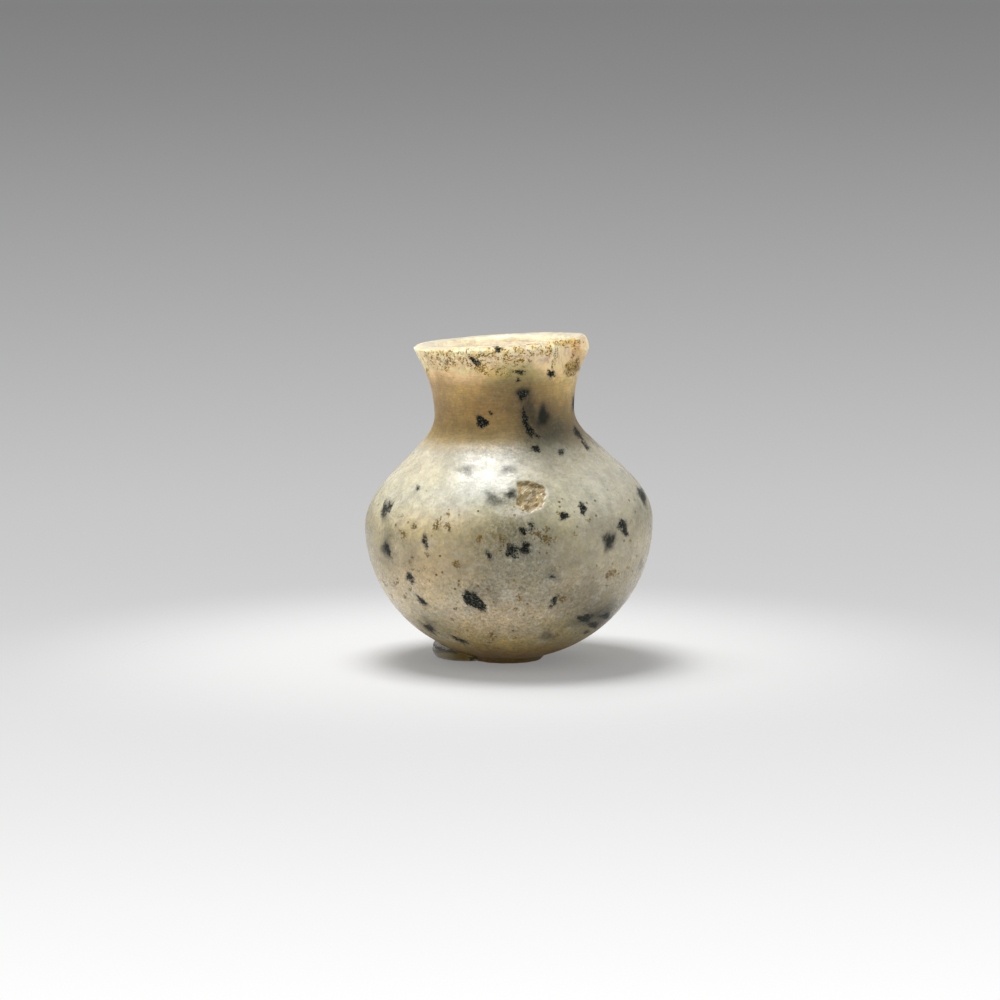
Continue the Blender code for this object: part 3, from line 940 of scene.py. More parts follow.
    def around(self, centre: np.ndarray, normal: np.ndarray, across: np.ndarray, above: np.ndarray,
               half_wide: float, half_tall: float, spread: float) -> tuple[np.ndarray, np.ndarray]:
        """Measure vertices from an ellipse on the surface.

        Args:
            centre: The ellipse's centre.
            normal: The surface's direction there.
            across: The direction of the ellipse's width.
            above: The direction of its height.
            half_wide: Half its width.
            half_tall: Half its height.
            spread: How many radii are worth measuring.

        Returns:
            The indices of the near vertices and their distances in radii.
        """
        offset = self.wall.placed - centre
        size = max(half_wide, half_tall)
        near = (np.linalg.norm(offset, axis=1) < 4.0 * size * spread + 1.0) & self.wall.outer
        near &= self.wall.normal @ normal > 0.2
        index = np.nonzero(near)[0]
        wide = offset[index] @ across / half_wide
        tall = offset[index] @ above / half_tall
        angle = np.arctan2(tall, wide)
        start = 2.7 * (centre[0] + centre[2])
        profile = np.ones(len(index))
        for waves, height, shift in self.edge_waves:
            profile += height * np.cos(waves * angle + shift * start)
        return index, np.hypot(wide, tall) / profile

    def hidden_spots(self, count: int, size: tuple[float, float],
                     salt: int) -> list[tuple[np.ndarray, np.ndarray, float]]:
        """Scatter spots over the part of the outside that the photograph doesn't show.

        Args:
            count: How many spots to try.
            size: The least and the greatest half width in millimetres.
            salt: A number that gives another scatter.

        Returns:
            For each spot its vertices, their distances in radii and its smaller radius.
        """
        draw = np.random.default_rng(self.seed + salt)
        outside = np.nonzero(self.wall.outer & (self.wall.radius > 4.0))[0]
        weight = self.wall.radius[outside]
        picks = draw.choice(outside, size=count * 2, p=weight / weight.sum())
        spots = []
        for pick in picks:
            half = draw.uniform(*size) * draw.uniform(0.6, 1.0)
            stretch = draw.uniform(0.45, 1.0)
            turn = draw.uniform(0.0, math.pi)
            normal = self.wall.normal[pick]
            if normal[1] < self.hidden_from or len(spots) >= count:
                continue
            level = np.cross([0.0, 0.0, 1.0], normal)
            level /= max(np.linalg.norm(level), 1e-6)
            rise = np.cross(normal, level)
            across = level * math.cos(turn) + rise * math.sin(turn)
            above = rise * math.cos(turn) - level * math.sin(turn)
            place = self.wall.placed[pick]
            index, radii = self.around(place, normal, across, above, half, half * stretch, 2.0)
            spots.append((index, radii, half * stretch))
        return spots

    def depth(self, spots: list[Spot], edge: float, hidden: int, size: tuple[float, float],
              salt: int) -> np.ndarray:
        """Return how far inside sharp-edged spots each vertex is.

        Args:
            spots: The spots of the photograph.
            edge: The distance in radii where a spot ends.
            hidden: How many spots the hidden side gets.
            size: The least and the greatest half width of a hidden spot in millimetres.
            salt: A number that gives another scatter.

        Returns:
            The depth in millimetres at each vertex, from -1 to 1.
        """
        depth = np.full(len(self.wall.own), -1.0)
        for spot in spots:
            found = self.reach(spot, 3.0)
            if found is not None:
                index, radii = found
                small = min(spot.wide, spot.tall) * self.pixel / 2.0
                depth[index] = np.maximum(depth[index], (edge - radii) * max(small, self.least_radius))
        for index, radii, small in self.hidden_spots(hidden, size, salt):
            depth[index] = np.maximum(depth[index], (edge - radii) * max(small, self.least_radius))
        return np.clip(depth, -1.0, 1.0)

    def cover(self, spots: list[Spot], outer: float, inner: float, hidden: int,
              size: tuple[float, float]) -> np.ndarray:
        """Return how strongly soft spots cover each vertex.

        Args:
            spots: The spots of the photograph.
            outer: The distance in radii where a spot ends.
            inner: The distance in radii inside which it is full.
            hidden: How many spots the hidden side gets.
            size: The least and the greatest half width of a hidden spot in millimetres.

        Returns:
            One value from 0 to 1 for each vertex.
        """
        cover = np.zeros(len(self.wall.own))
        for spot in spots:
            found = self.reach(spot, outer)
            if found is not None:
                index, radii = found
                value = spot.strength * smooth_step(outer, inner, radii)
                cover[index] = np.maximum(cover[index], value)
        for index, radii, _ in self.hidden_spots(hidden, size, hidden):
            value = self.hidden_strength * smooth_step(outer, inner, radii)
            cover[index] = np.maximum(cover[index], value)
        return cover

    def crust(self) -> np.ndarray:
        """Return where the pale crust is: a band under the crest, all round the lip."""
        wall = self.wall
        wander = 0.5 * np.sin(2.0 * wall.azimuth + 0.6) + 0.4 * np.sin(5.0 * wall.azimuth)
        wander += self.crust_wander.at(wall.own)
        low = self.form.lip_level - self.crust_drop + wander * 0.7
        band = smooth_step(-1.2, 0.8, wall.level - low)
        return np.where(wall.outer, band, 0.4 * smooth_step(44.0, 50.0, wall.level))

    def facing(self) -> np.ndarray:
        """Return how squarely each vertex faces the photograph's camera, from -1 to 1."""
        towards = np.array(self.view.place()) - self.wall.placed
        towards /= np.linalg.norm(towards, axis=1)[:, None]
        return (towards * self.wall.normal).sum(1)

    def broken(self) -> np.ndarray:
        """Return how much of the skin is broken off, in the lip's flake."""
        return smooth_step(0.1, 0.5, self.wall.flake)

    def milky(self) -> np.ndarray:
        """Return where the white granular mottling lies: low on the belly, and thinly above."""
        band = 0.7 * smooth_step(1.0, 5.0, self.wall.level) * smooth_step(22.0, 14.0, self.wall.level)
        seen = self.cover(sugary_patches(), outer=1.4, inner=0.4, hidden=10, size=(3.0, 6.0))
        return np.where(self.wall.outer, np.maximum(np.maximum(band, seen), 0.2), 0.3)

    def veiled(self) -> np.ndarray:
        """Return where the cool and the white veils may lie: on the belly and the shoulder."""
        level = self.wall.level
        return self.wall.outer * smooth_step(2.0, 6.5, level) * smooth_step(38.0, 34.0, level)

    def speckled(self) -> np.ndarray:
        """Return where single specks lie: over the belly, in patches."""
        belly = self.wall.outer * smooth_step(34.0, 27.0, self.wall.level)
        return belly * smooth_step(-0.25, 0.15, self.speck_patches.at(self.wall.own))

    def tooled(self) -> np.ndarray:
        """Return where the turning marks are: round the neck, and all over the hollow."""
        neck = smooth_step(34.0, 37.5, self.wall.level) * smooth_step(48.0, 45.5, self.wall.level)
        return np.where(self.wall.outer, neck, 1.0)

    def tone(self) -> np.ndarray:
        """Return the stone's broad colour: warm and yellow at the top, greyer on the belly, with
        painted shade at the foot and partly in the neck's band.
        """
        level = self.wall.level
        steps = np.array(self.tones)
        tone = np.stack([np.interp(level, steps[:, 0], steps[:, channel]) for channel in (1, 2, 3)], 1)
        tone = np.where(self.wall.outer[:, None], tone, np.array(self.hollow_tone))
        # Painted shade: the crest's faces that look up, towards the overhead light, are darkened.
        crest_facing_up = smooth_step(0.45, 0.85, self.wall.normal[:, 2]) * smooth_step(49.0, 50.3, level)
        tone *= 1.0 - np.array(self.crest_top_shade) * crest_facing_up[:, None]
        seen = smooth_step(-0.25, 0.2, self.facing()) * self.wall.outer
        for wash in stain_and_light_washes():
            tone *= self.washed(wash, seen)
        return np.clip(tone, 0.0, 1.0)

    def washed(self, wash: Wash, seen: np.ndarray) -> np.ndarray:
        """Return a wash's colour at each vertex, white where the wash doesn't reach.

        Args:
            wash: The wash.
            seen: How much of the wash each vertex can take.

        Returns:
            One row of red, green and blue for each vertex.
        """
        right, up, ahead = (np.array(axis) for axis in self.view.axes())
        offset = self.wall.placed - np.array(self.view.place())
        scale = self.view.focal_pixels / (offset @ ahead)
        column = self.view.frame_pixels / 2.0 + (offset @ right) * scale
        row = self.view.frame_pixels / 2.0 - (offset @ up) * scale
        turn = math.radians(wash.turn)
        across = (column - wash.x) * math.cos(turn) - (row - wash.y) * math.sin(turn)
        along = (column - wash.x) * math.sin(turn) + (row - wash.y) * math.cos(turn)
        radii = np.hypot(across * 2.0 / wash.wide, along * 2.0 / wash.tall)
        share = (smooth_step(1.5, 0.1, radii) * seen)[:, None]
        return 1.0 + (np.array(wash.colour) - 1.0) * share


@dataclass(frozen=True)
class Pattern:
    """Noise with lumps of a size in millimetres, and the ranges of values it goes from and to."""

    size: float
    detail: float = 3.0
    rough: float = 0.55
    twist: float = 0.0
    low: float = 0.0
    high: float = 1.0
    to_low: float = 0.0
    to_high: float = 1.0


class Graph:
    """A material's nodes, added and linked one by one."""

    def __init__(self, name: str) -> None:
        """Start a material with its Principled BSDF."""
        self.material = bpy.data.materials.new(name)
        self.material.use_nodes = True
        self.tree = self.material.node_tree
        self.shader = self.tree.nodes["Principled BSDF"]
        self.place = self.tree.nodes.new("ShaderNodeTexCoord").outputs["Object"]

    def set(self, **values: float | tuple) -> None:
        """Set the shader's own sockets. A name's underscores stand for spaces."""
        for name, value in values.items():
            self.shader.inputs[name.replace("_", " ")].default_value = value

    def link(self, source: Socket, target: Socket) -> None:
        """Link an output to an input."""
        self.tree.links.new(source, target)

    def feed(self, socket: Socket, value: Socket | float | tuple) -> None:
        """Give an input a link or a plain value."""
        if isinstance(value, Socket):
            self.link(value, socket)
        elif isinstance(value, tuple) and len(value) == 3 and socket.type == "RGBA":
            socket.default_value = (*value, 1.0)
        else:
            socket.default_value = value

    def attribute(self, name: str, colour: bool = False) -> Socket:
        """Read an attribute of the mesh."""
        node = self.tree.nodes.new("ShaderNodeAttribute")
        node.attribute_name = name
        return node.outputs["Color" if colour else "Fac"]

    def stretch(self, x: float, y: float, z: float,
                turn: tuple[float, float, float] = (0.0, 0.0, 0.0)) -> Socket:
        """Return the object's coordinates scaled along each axis, after a turn."""
        node = self.tree.nodes.new("ShaderNodeMapping")
        node.vector_type = "TEXTURE"
        self.link(self.place, node.inputs["Vector"])
        node.inputs["Rotation"].default_value = turn
        node.inputs["Scale"].default_value = (1.0 / x, 1.0 / y, 1.0 / z)
        return node.outputs["Vector"]

    def noise(self, pattern: Pattern, where: Socket | None = None) -> Socket:
        """Return a pattern's noise as it comes."""
        node = self.tree.nodes.new("ShaderNodeTexNoise")
        self.link(where or self.place, node.inputs["Vector"])
        node.inputs["Scale"].default_value = 1.0 / (pattern.size * MM)
        node.inputs["Detail"].default_value = pattern.detail
        node.inputs["Roughness"].default_value = pattern.rough
        node.inputs["Distortion"].default_value = pattern.twist
        return node.outputs["Fac"]

    def pattern(self, pattern: Pattern, where: Socket | None = None,
                smooth: bool = True) -> Socket:
        """Return a pattern's noise, taken to the pattern's own range."""
        return self.remap(self.noise(pattern, where), pattern.low, pattern.high, pattern.to_low,
                          pattern.to_high, smooth)

    def cells(self, size: float) -> Socket:
        """Return the distance to the nearest of cells of a size in millimetres."""
        node = self.tree.nodes.new("ShaderNodeTexVoronoi")
        self.link(self.place, node.inputs["Vector"])
        node.inputs["Scale"].default_value = 1.0 / (size * MM)
        return node.outputs["Distance"]

    def strokes(self, size: float, width: float, share: float) -> Socket:
        """Return short curved strokes: the middle lines of one noise, broken up by another.

        Args:
            size: The size of the strokes' bends in millimetres.
            width: Half a stroke's width, as a share of the noise's range.
            share: The second noise's value from which strokes show, from 0 to 1.

        Returns:
            A value from 0 to 1.
        """
        bends = self.noise(Pattern(size, detail=2.0, rough=0.5, twist=0.8))
        line = self.remap(self.math("ABSOLUTE", self.math("SUBTRACT", bends, 0.5)), width, width * 0.35)
        gaps = Pattern(size * 0.7, detail=1.0, low=share, high=share + 0.06)
        return self.times(line, self.pattern(gaps))

    def math(self, operation: str, first: Socket | float,
             second: Socket | float = 0.0) -> Socket:
        """Return a sum, product or other result of two values."""
        node = self.tree.nodes.new("ShaderNodeMath")
        node.operation = operation
        self.feed(node.inputs[0], first)
        self.feed(node.inputs[1], second)
        return node.outputs["Value"]

    def add(self, first: Socket, second: Socket | float) -> Socket:
        """Return the sum of two values."""
        return self.math("ADD", first, second)

    def times(self, first: Socket, second: Socket | float) -> Socket:
        """Return the product of two values."""
        return self.math("MULTIPLY", first, second)

    def most(self, first: Socket, second: Socket) -> Socket:
        """Return the greater of two values."""
        return self.math("MAXIMUM", first, second)

    def swing(self, value: Socket, height: float, middle: float = 0.5) -> Socket:
        """Return how far a value is from its middle, times a height."""
        return self.times(self.math("SUBTRACT", value, middle), height)

    def remap(self, value: Socket, low: float, high: float, to_low: float = 0.0,
              to_high: float = 1.0, smooth: bool = True) -> Socket:
        """Return a value taken from one range to another and held to it."""
        node = self.tree.nodes.new("ShaderNodeMapRange")
        node.interpolation_type = "SMOOTHSTEP" if smooth else "LINEAR"
        self.link(value, node.inputs["Value"])
        names = ("From Min", "From Max", "To Min", "To Max")
        for name, number in zip(names, (low, high, to_low, to_high)):
            node.inputs[name].default_value = number
        return node.outputs["Result"]

    def mix(self, share: Socket | float, first: Socket | tuple,
            second: Socket | tuple, blend: str = "MIX") -> Socket:
        """Return two colours mixed by a share."""
        node = self.tree.nodes.new("ShaderNodeMix")
        node.data_type = "RGBA"
        node.blend_type = blend
        self.feed(node.inputs["Factor"], share)
        self.feed([s for s in node.inputs if s.name == "A" and s.type == "RGBA"][0], first)
        self.feed([s for s in node.inputs if s.name == "B" and s.type == "RGBA"][0], second)
        return [s for s in node.outputs if s.type == "RGBA"][0]

    def shade(self, colour: Socket, value: Socket) -> Socket:
        """Return a colour multiplied by a value."""
        return self.mix(1.0, colour, self.grey(value), "MULTIPLY")

    def grey(self, value: Socket) -> Socket:
        """Return a value as a grey colour."""
        node = self.tree.nodes.new("ShaderNodeCombineColor")
        for name in ("Red", "Green", "Blue"):
            self.link(value, node.inputs[name])
        return node.outputs["Color"]

    def bump(self, height: Socket, distance: float,
             normal: Socket | None = None) -> Socket:
        """Return a normal bent by a height, whose full range is a distance in millimetres."""
        node = self.tree.nodes.new("ShaderNodeBump")
        node.inputs["Distance"].default_value = distance * MM
        self.link(height, node.inputs["Height"])
        if normal is not None:
            self.link(normal, node.inputs["Normal"])
        return node.outputs["Normal"]


@dataclass(frozen=True)
class StoneFinish:
    """Translucent, softly polished stone with dark grains, ochre specks and a pitted lip."""

    ior: float = 1.58
    roughness: float = 0.29
    subsurface: float = 0.6
    scatter: tuple[float, float, float] = (1.0, 0.8, 0.5)
    scatter_size: float = 0.0022
    gloss: float = 0.60
    dull_gloss: float = 0.15
    cool: tuple[float, float, float] = (0.33, 0.34, 0.26)
    black: tuple[float, float, float] = (0.004, 0.005, 0.003)
    black_grain: tuple[float, float, float] = (0.17, 0.18, 0.145)
    blue_grey: tuple[float, float, float] = (0.026, 0.028, 0.018)
    ochre: tuple[float, float, float] = (0.23, 0.130, 0.010)
    ochre_dark: tuple[float, float, float] = (0.085, 0.050, 0.004)
    brown: tuple[float, float, float] = (0.30, 0.18, 0.015)
    dark_brown: tuple[float, float, float] = (0.12, 0.072, 0.006)
    gold: tuple[float, float, float] = (0.84, 0.61, 0.20)
    cream: tuple[float, float, float] = (1.0, 0.79, 0.47)
    pit_brown: tuple[float, float, float] = (0.16, 0.088, 0.010)
    pit_cream: tuple[float, float, float] = (0.46, 0.34, 0.14)
    pit_olive: tuple[float, float, float] = (0.22, 0.180, 0.070)
    white: tuple[float, float, float] = (0.70, 0.67, 0.58)

    cloud: Pattern = Pattern(4.5, 4.0, 0.6, 0.6, low=0.28, high=0.72, to_low=0.86, to_high=1.14)
    cool_veil: Pattern = Pattern(7.0, 2.0, 0.5, low=0.45, high=0.66, to_high=0.22)
    white_veil: Pattern = Pattern(3.2, 5.0, 0.62, 0.4, low=0.50, high=0.68, to_high=0.24)
    flock: Pattern = Pattern(1.3, 4.0, 0.65, 0.5, low=0.3, high=0.7, to_low=0.87, to_high=1.13)
    fine: Pattern = Pattern(0.42, 4.0, 0.72, low=0.3, high=0.7, to_low=-0.54, to_high=0.54)
    streak: Pattern = Pattern(1.2, 3.0, 0.6, low=0.3, high=0.7, to_low=0.90, to_high=1.10)
    split: Pattern = Pattern(1.0, 3.0, 0.65, 0.3, low=0.32, high=0.56, to_low=0.80, to_high=1.12)
    mottle: Pattern = Pattern(0.55, 4.0, 0.8, low=0.50, high=0.62)
    crushed: Pattern = Pattern(0.6, 4.0, 0.7, low=0.36, high=0.60, to_low=0.2, to_high=0.9)
    sunk_ragged: Pattern = Pattern(0.8, 3.0, 0.7, low=0.3, high=0.7, to_low=0.55, to_high=1.1)
    ochre_patch: Pattern = Pattern(0.8, 2.0, low=0.4, high=0.6)
    brown_patch: Pattern = Pattern(1.4, 3.0, 0.6, low=0.50, high=0.66)
    grain_patch: Pattern = Pattern(0.24, 3.0, 0.75, low=0.53, high=0.63)
    gold_patch: Pattern = Pattern(0.9, 3.0, 0.6, low=0.54, high=0.68, to_high=0.6)
    grain_edge: Pattern = Pattern(0.36, 4.0, 0.85, 0.3)
    grain_feather: Pattern = Pattern(0.19, 2.0, 0.7)
    speck_dot: Pattern = Pattern(0.44, 3.0, 0.6, 0.8, low=0.61, high=0.65)
    fleck_edge: Pattern = Pattern(0.24, 3.0, 0.7)
    fleck_crumb: Pattern = Pattern(0.30, 2.0, 0.6, 0.4, low=0.42, high=0.50)
    crust_far: Pattern = Pattern(1.8, 2.0, 0.6, low=0.45, high=0.70, to_high=0.8)
    crust_gaps: Pattern = Pattern(1.1, 3.0, 0.6, 0.5, low=0.34, high=0.60, to_low=0.25)
    lip_pit: Pattern = Pattern(0.38, 3.0, 0.65, 0.6, low=0.60, high=0.65)
    pit_streak: Pattern = Pattern(1.1, 4.0, 0.7, 0.2, low=0.51, high=0.58)
    pit_patch: Pattern = Pattern(1.6, 2.0, 0.5, low=0.40, high=0.60)
    pit_glint: Pattern = Pattern(0.8, 3.0, 0.7, 0.2, low=0.57, high=0.63, to_high=0.9)
    polish: Pattern = Pattern(1.5, 3.0, low=0.3, high=0.7, to_low=-0.06, to_high=0.08)
    swell: Pattern = Pattern(2.2, 3.0, 0.5)
    grit: Pattern = Pattern(0.30, 4.0, 0.65)
    tool_mark: Pattern = Pattern(0.9, 3.0, 0.6)
    crumb: Pattern = Pattern(0.45, 4.0, 0.7)
    swell_depth: float = 0.10
    grit_depth: float = 0.024
    tool_depth: float = 0.05
    crumb_depth: float = 0.10
    pit_depth: float = 0.12
    rougher: tuple[tuple[str, float], ...] = (
        ("crust", 0.25), ("broken", 0.2), ("pit", 0.2), ("tooled", 0.16))

    def build(self) -> bpy.types.Material:
        """Make the stone's material."""
        graph = Graph("speckled_stone")
        graph.set(IOR=self.ior, Specular_IOR_Level=self.gloss, Subsurface_Radius=self.scatter,
                  Subsurface_Scale=self.scatter_size)
        colour = self.buried(graph, self.clouds(graph))
        specks = self.specks(graph)
        ochre = graph.mix(graph.pattern(self.ochre_patch), self.ochre, self.ochre_dark)
        colour = graph.mix(specks, colour, ochre)
        # The broken flake is lightened to cream: partly the fresher stone's paler colour, partly a
        # painted highlight on its facets.
        colour = graph.mix(graph.times(graph.attribute("broken"), 0.30), colour, self.cream)
        density = self.crusting(graph)
        colour = graph.mix(self.staining(graph, density), colour, self.gold)
        pits = self.pits(graph, density)
        brown = graph.mix(graph.pattern(self.brown_patch), self.brown, self.dark_brown)
        colour = graph.mix(pits, colour, brown)
        colour = graph.mix(graph.attribute("pit"), colour, self.pit_floor(graph))
        grains = self.grains(graph)
        black = graph.mix(graph.pattern(self.grain_patch), self.black, self.black_grain)
        graph.link(graph.mix(grains, colour, black), graph.shader.inputs["Base Color"])
        self.translucency(graph, specks, pits, grains)
        self.surface(graph, pits, grains)
        return graph.material

    def translucency(self, graph: Graph, specks: Socket, pits: Socket,
                     grains: Socket) -> None:
        """Let light into the clear stone, and take the gloss off what is dark or stained.

        Args:
            graph: The material's nodes.
            specks: Where the ochre specks are.
            pits: Where the lip's pits are.
            grains: Where the surface grains are.
        """
        # The stained band low on the outside loses translucency, gloss and shine here, so the underside
        # reads darker.
        stained = graph.attribute("stained")
        covered = graph.most(grains, graph.times(graph.most(specks, pits), 0.8))
        covered = graph.most(covered, graph.times(stained, 0.8))
        clear = graph.remap(covered, 0.0, 1.0, self.subsurface, 0.0, smooth=False)
        graph.link(clear, graph.shader.inputs["Subsurface Weight"])
        dull = graph.most(grains, graph.times(graph.attribute("buried"), 0.75))
        dull = graph.most(graph.most(dull, graph.most(pits, stained)), specks)
        shine = graph.remap(dull, 0.0, 1.0, 1.0, self.dull_gloss, smooth=False)
        graph.link(graph.grey(shine), graph.shader.inputs["Specular Tint"])

    def clouds(self, graph: Graph) -> Socket:
        """Return the broad tone with its clouds and its granular mottling."""
        milky = graph.attribute("milky")
        veiled = graph.attribute("veiled")
        colour = graph.shade(graph.attribute("tone", colour=True), graph.pattern(self.cloud))
        colour = graph.mix(graph.times(graph.pattern(self.cool_veil), veiled), colour, self.cool)
        colour = graph.mix(graph.times(graph.pattern(self.white_veil), veiled), colour, self.white)
        colour = graph.shade(colour, graph.pattern(self.flock))
        fine = graph.pattern(self.fine, smooth=False)
        fine = graph.times(fine, graph.remap(milky, 0.2, 1.0, 0.30, 1.0))
        fine = graph.times(fine, graph.remap(graph.attribute("crust"), 0.0, 1.0, 1.0, 0.35))
        colour = graph.shade(colour, graph.add(fine, 1.0))
        streaked = graph.shade(colour, graph.pattern(self.streak, graph.stretch(0.7, 0.7, 6.0)))
        colour = graph.mix(graph.attribute("tooled"), colour, streaked)
        splintered = graph.shade(colour, graph.pattern(self.split, graph.stretch(2.2, 2.2, 0.5)))
        colour = graph.mix(graph.attribute("broken"), colour, splintered)
        mottle = graph.times(graph.pattern(self.mottle), milky)
        colour = graph.mix(graph.times(mottle, 0.40), colour, self.white)
        bruise = graph.times(graph.pattern(self.crushed), graph.attribute("bruise"))
        return graph.mix(bruise, colour, self.white)

    def buried(self, graph: Graph, colour: Socket) -> Socket:
        """Return the colour with the blurred grains that lie under the surface."""
        buried = graph.times(graph.attribute("buried"), graph.pattern(self.sunk_ragged))
        halo = graph.remap(graph.attribute("grain"), 0.32, 0.50, 0.0, 0.22)
        share = graph.math("MINIMUM", graph.most(buried, halo), 1.0)
        return graph.mix(share, colour, self.blue_grey)

    def grains(self, graph: Graph) -> Socket:
        """Return where the surface grains are, with their angular, ragged edges."""
        depth = graph.math("SUBTRACT", graph.attribute("grain"), 0.5)
        depth = graph.add(depth, graph.swing(graph.cells(0.5), 0.12, middle=0.45))
        depth = graph.add(depth, graph.swing(graph.noise(self.grain_edge), 0.55))
        depth = graph.add(depth, graph.swing(graph.noise(self.grain_feather), 0.38))
        return graph.remap(depth, -0.05, 0.06)

    def specks(self, graph: Graph) -> Socket:
        """Return where the ochre specks are: small dots, crowded inside their clusters."""
        cluster = graph.attribute("ochre")
        dot = graph.add(graph.noise(self.speck_dot), graph.times(cluster, 0.10))
        dot = graph.remap(dot, self.speck_dot.low, self.speck_dot.high)
        crowd = graph.times(dot, graph.remap(cluster, 0.10, 0.45))
        fleck = graph.math("SUBTRACT", graph.attribute("fleck"), 0.5)
        fleck = graph.add(fleck, graph.swing(graph.noise(self.fleck_edge), 0.75))
        fleck = graph.times(graph.remap(fleck, -0.03, 0.03), graph.pattern(self.fleck_crumb))
        lone = graph.times(graph.remap(graph.cells(1.7), 0.15, 0.10), graph.attribute("speckled"))
        return graph.times(graph.most(graph.most(crowd, fleck), lone), 0.9)

    def crusting(self, graph: Graph) -> Socket:
        """Return how thickly the lip's crust is pitted, from 0 to 1."""
        away = graph.times(graph.pattern(self.crust_far), graph.attribute("away"))
        seen = graph.times(graph.attribute("pitted"), graph.pattern(self.crust_gaps))
        return graph.times(graph.most(seen, away), graph.attribute("crust"))

    def staining(self, graph: Graph, density: Socket) -> Socket:
        """Return how strongly the crust is stained gold, more where its pits are dense."""
        patch = self.gold_patch
        stain = graph.add(graph.noise(patch), graph.times(density, 0.22))
        stain = graph.remap(stain, patch.low, patch.high, patch.to_low, patch.to_high)
        return graph.times(stain, graph.remap(density, 0.05, 0.3))

    def pits(self, graph: Graph, density: Socket) -> Socket:
        """Return where the lip's dark pits and cracks are.

        Args:
            graph: The material's nodes.
            density: How thickly the crust is pitted.

        Returns:
            A value from 0 to 1.
        """
        dot = graph.add(graph.noise(self.lip_pit), graph.times(density, 0.12))
        dot = graph.remap(dot, self.lip_pit.low, self.lip_pit.high)
        crack = graph.times(graph.strokes(0.7, 0.036, 0.48), 0.85)
        return graph.times(graph.most(dot, crack), graph.remap(density, 0.10, 0.5))

    def pit_floor(self, graph: Graph) -> Socket:
        """Return the colour of the pit in the shoulder: cream with slanting brown streaks."""
        slanted = graph.stretch(1.0, 1.0, 5.0, (0.0, math.radians(-36.0), 0.0))
        ground = graph.mix(graph.pattern(self.pit_patch), self.pit_cream, self.pit_olive)
        ground = graph.mix(graph.pattern(self.pit_glint, slanted), ground, self.cream)
        streak = graph.times(graph.pattern(self.pit_streak, slanted), 0.85)
        return graph.mix(streak, ground, self.pit_brown)

    def surface(self, graph: Graph, pits: Socket, grains: Socket) -> None:
        """Give the stone its roughness and its fine relief."""
        rough = graph.add(graph.pattern(self.polish), self.roughness)
        for name, extra in self.rougher:
            rough = graph.add(rough, graph.times(graph.attribute(name), extra))
        rough = graph.add(rough, graph.times(grains, 0.25))
        rough = graph.add(rough, graph.times(graph.attribute("stained"), 0.25))
        graph.link(graph.math("MINIMUM", rough, 0.85), graph.shader.inputs["Roughness"])
        swell = graph.bump(graph.noise(self.swell), self.swell_depth)
        grit = graph.bump(graph.noise(self.grit), self.grit_depth, swell)
        tool = graph.noise(self.tool_mark, graph.stretch(0.5, 0.5, 6.0))
        grooved = graph.bump(graph.times(tool, graph.attribute("tooled")), self.tool_depth, grit)
        crumbs = graph.times(graph.noise(self.crumb), graph.attribute("crust"))
        crumbled = graph.bump(crumbs, self.crumb_depth, grooved)
        normal = graph.bump(graph.math("SUBTRACT", 1.0, pits), self.pit_depth, crumbled)
        graph.link(normal, graph.shader.inputs["Normal"])


@dataclass(frozen=True)
class WaxFinish:
    """Clear wax: see-through, soft and glossy, turning amber under the jar as painted shade, with the
    jar's brown underside painted in as if seen through it.
    """

    colour: tuple[float, float, float] = (0.62, 0.60, 0.53)
    amber: tuple[float, float, float] = (0.16, 0.10, 0.010)
    amber_start: float = -0.0120
    amber_end: float = -0.0068
    roughness: float = 0.18
    clear: float = 0.80
    ior: float = 1.42
    ripple: Pattern = Pattern(1.8, 2.0)
    ripple_depth: float = 0.16

    def build(self) -> bpy.types.Material:
        """Make the wax's material."""
        graph = Graph("clear_wax")
        graph.set(IOR=self.ior, Transmission_Weight=self.clear, Roughness=self.roughness)
        beside = graph.tree.nodes.new("ShaderNodeSeparateXYZ")
        graph.link(graph.place, beside.inputs["Vector"])
        # Painted shade: towards the jar's middle the wax darkens to amber, with the jar's brown
        # underside painted in as if seen through it.
        shaded_under_jar = graph.remap(beside.outputs["X"], self.amber_start, self.amber_end)
        graph.link(graph.mix(shaded_under_jar, self.colour, self.amber), graph.shader.inputs["Base Color"])
        ripple = graph.bump(graph.noise(self.ripple), self.ripple_depth)
        graph.link(ripple, graph.shader.inputs["Normal"])
        return graph.material


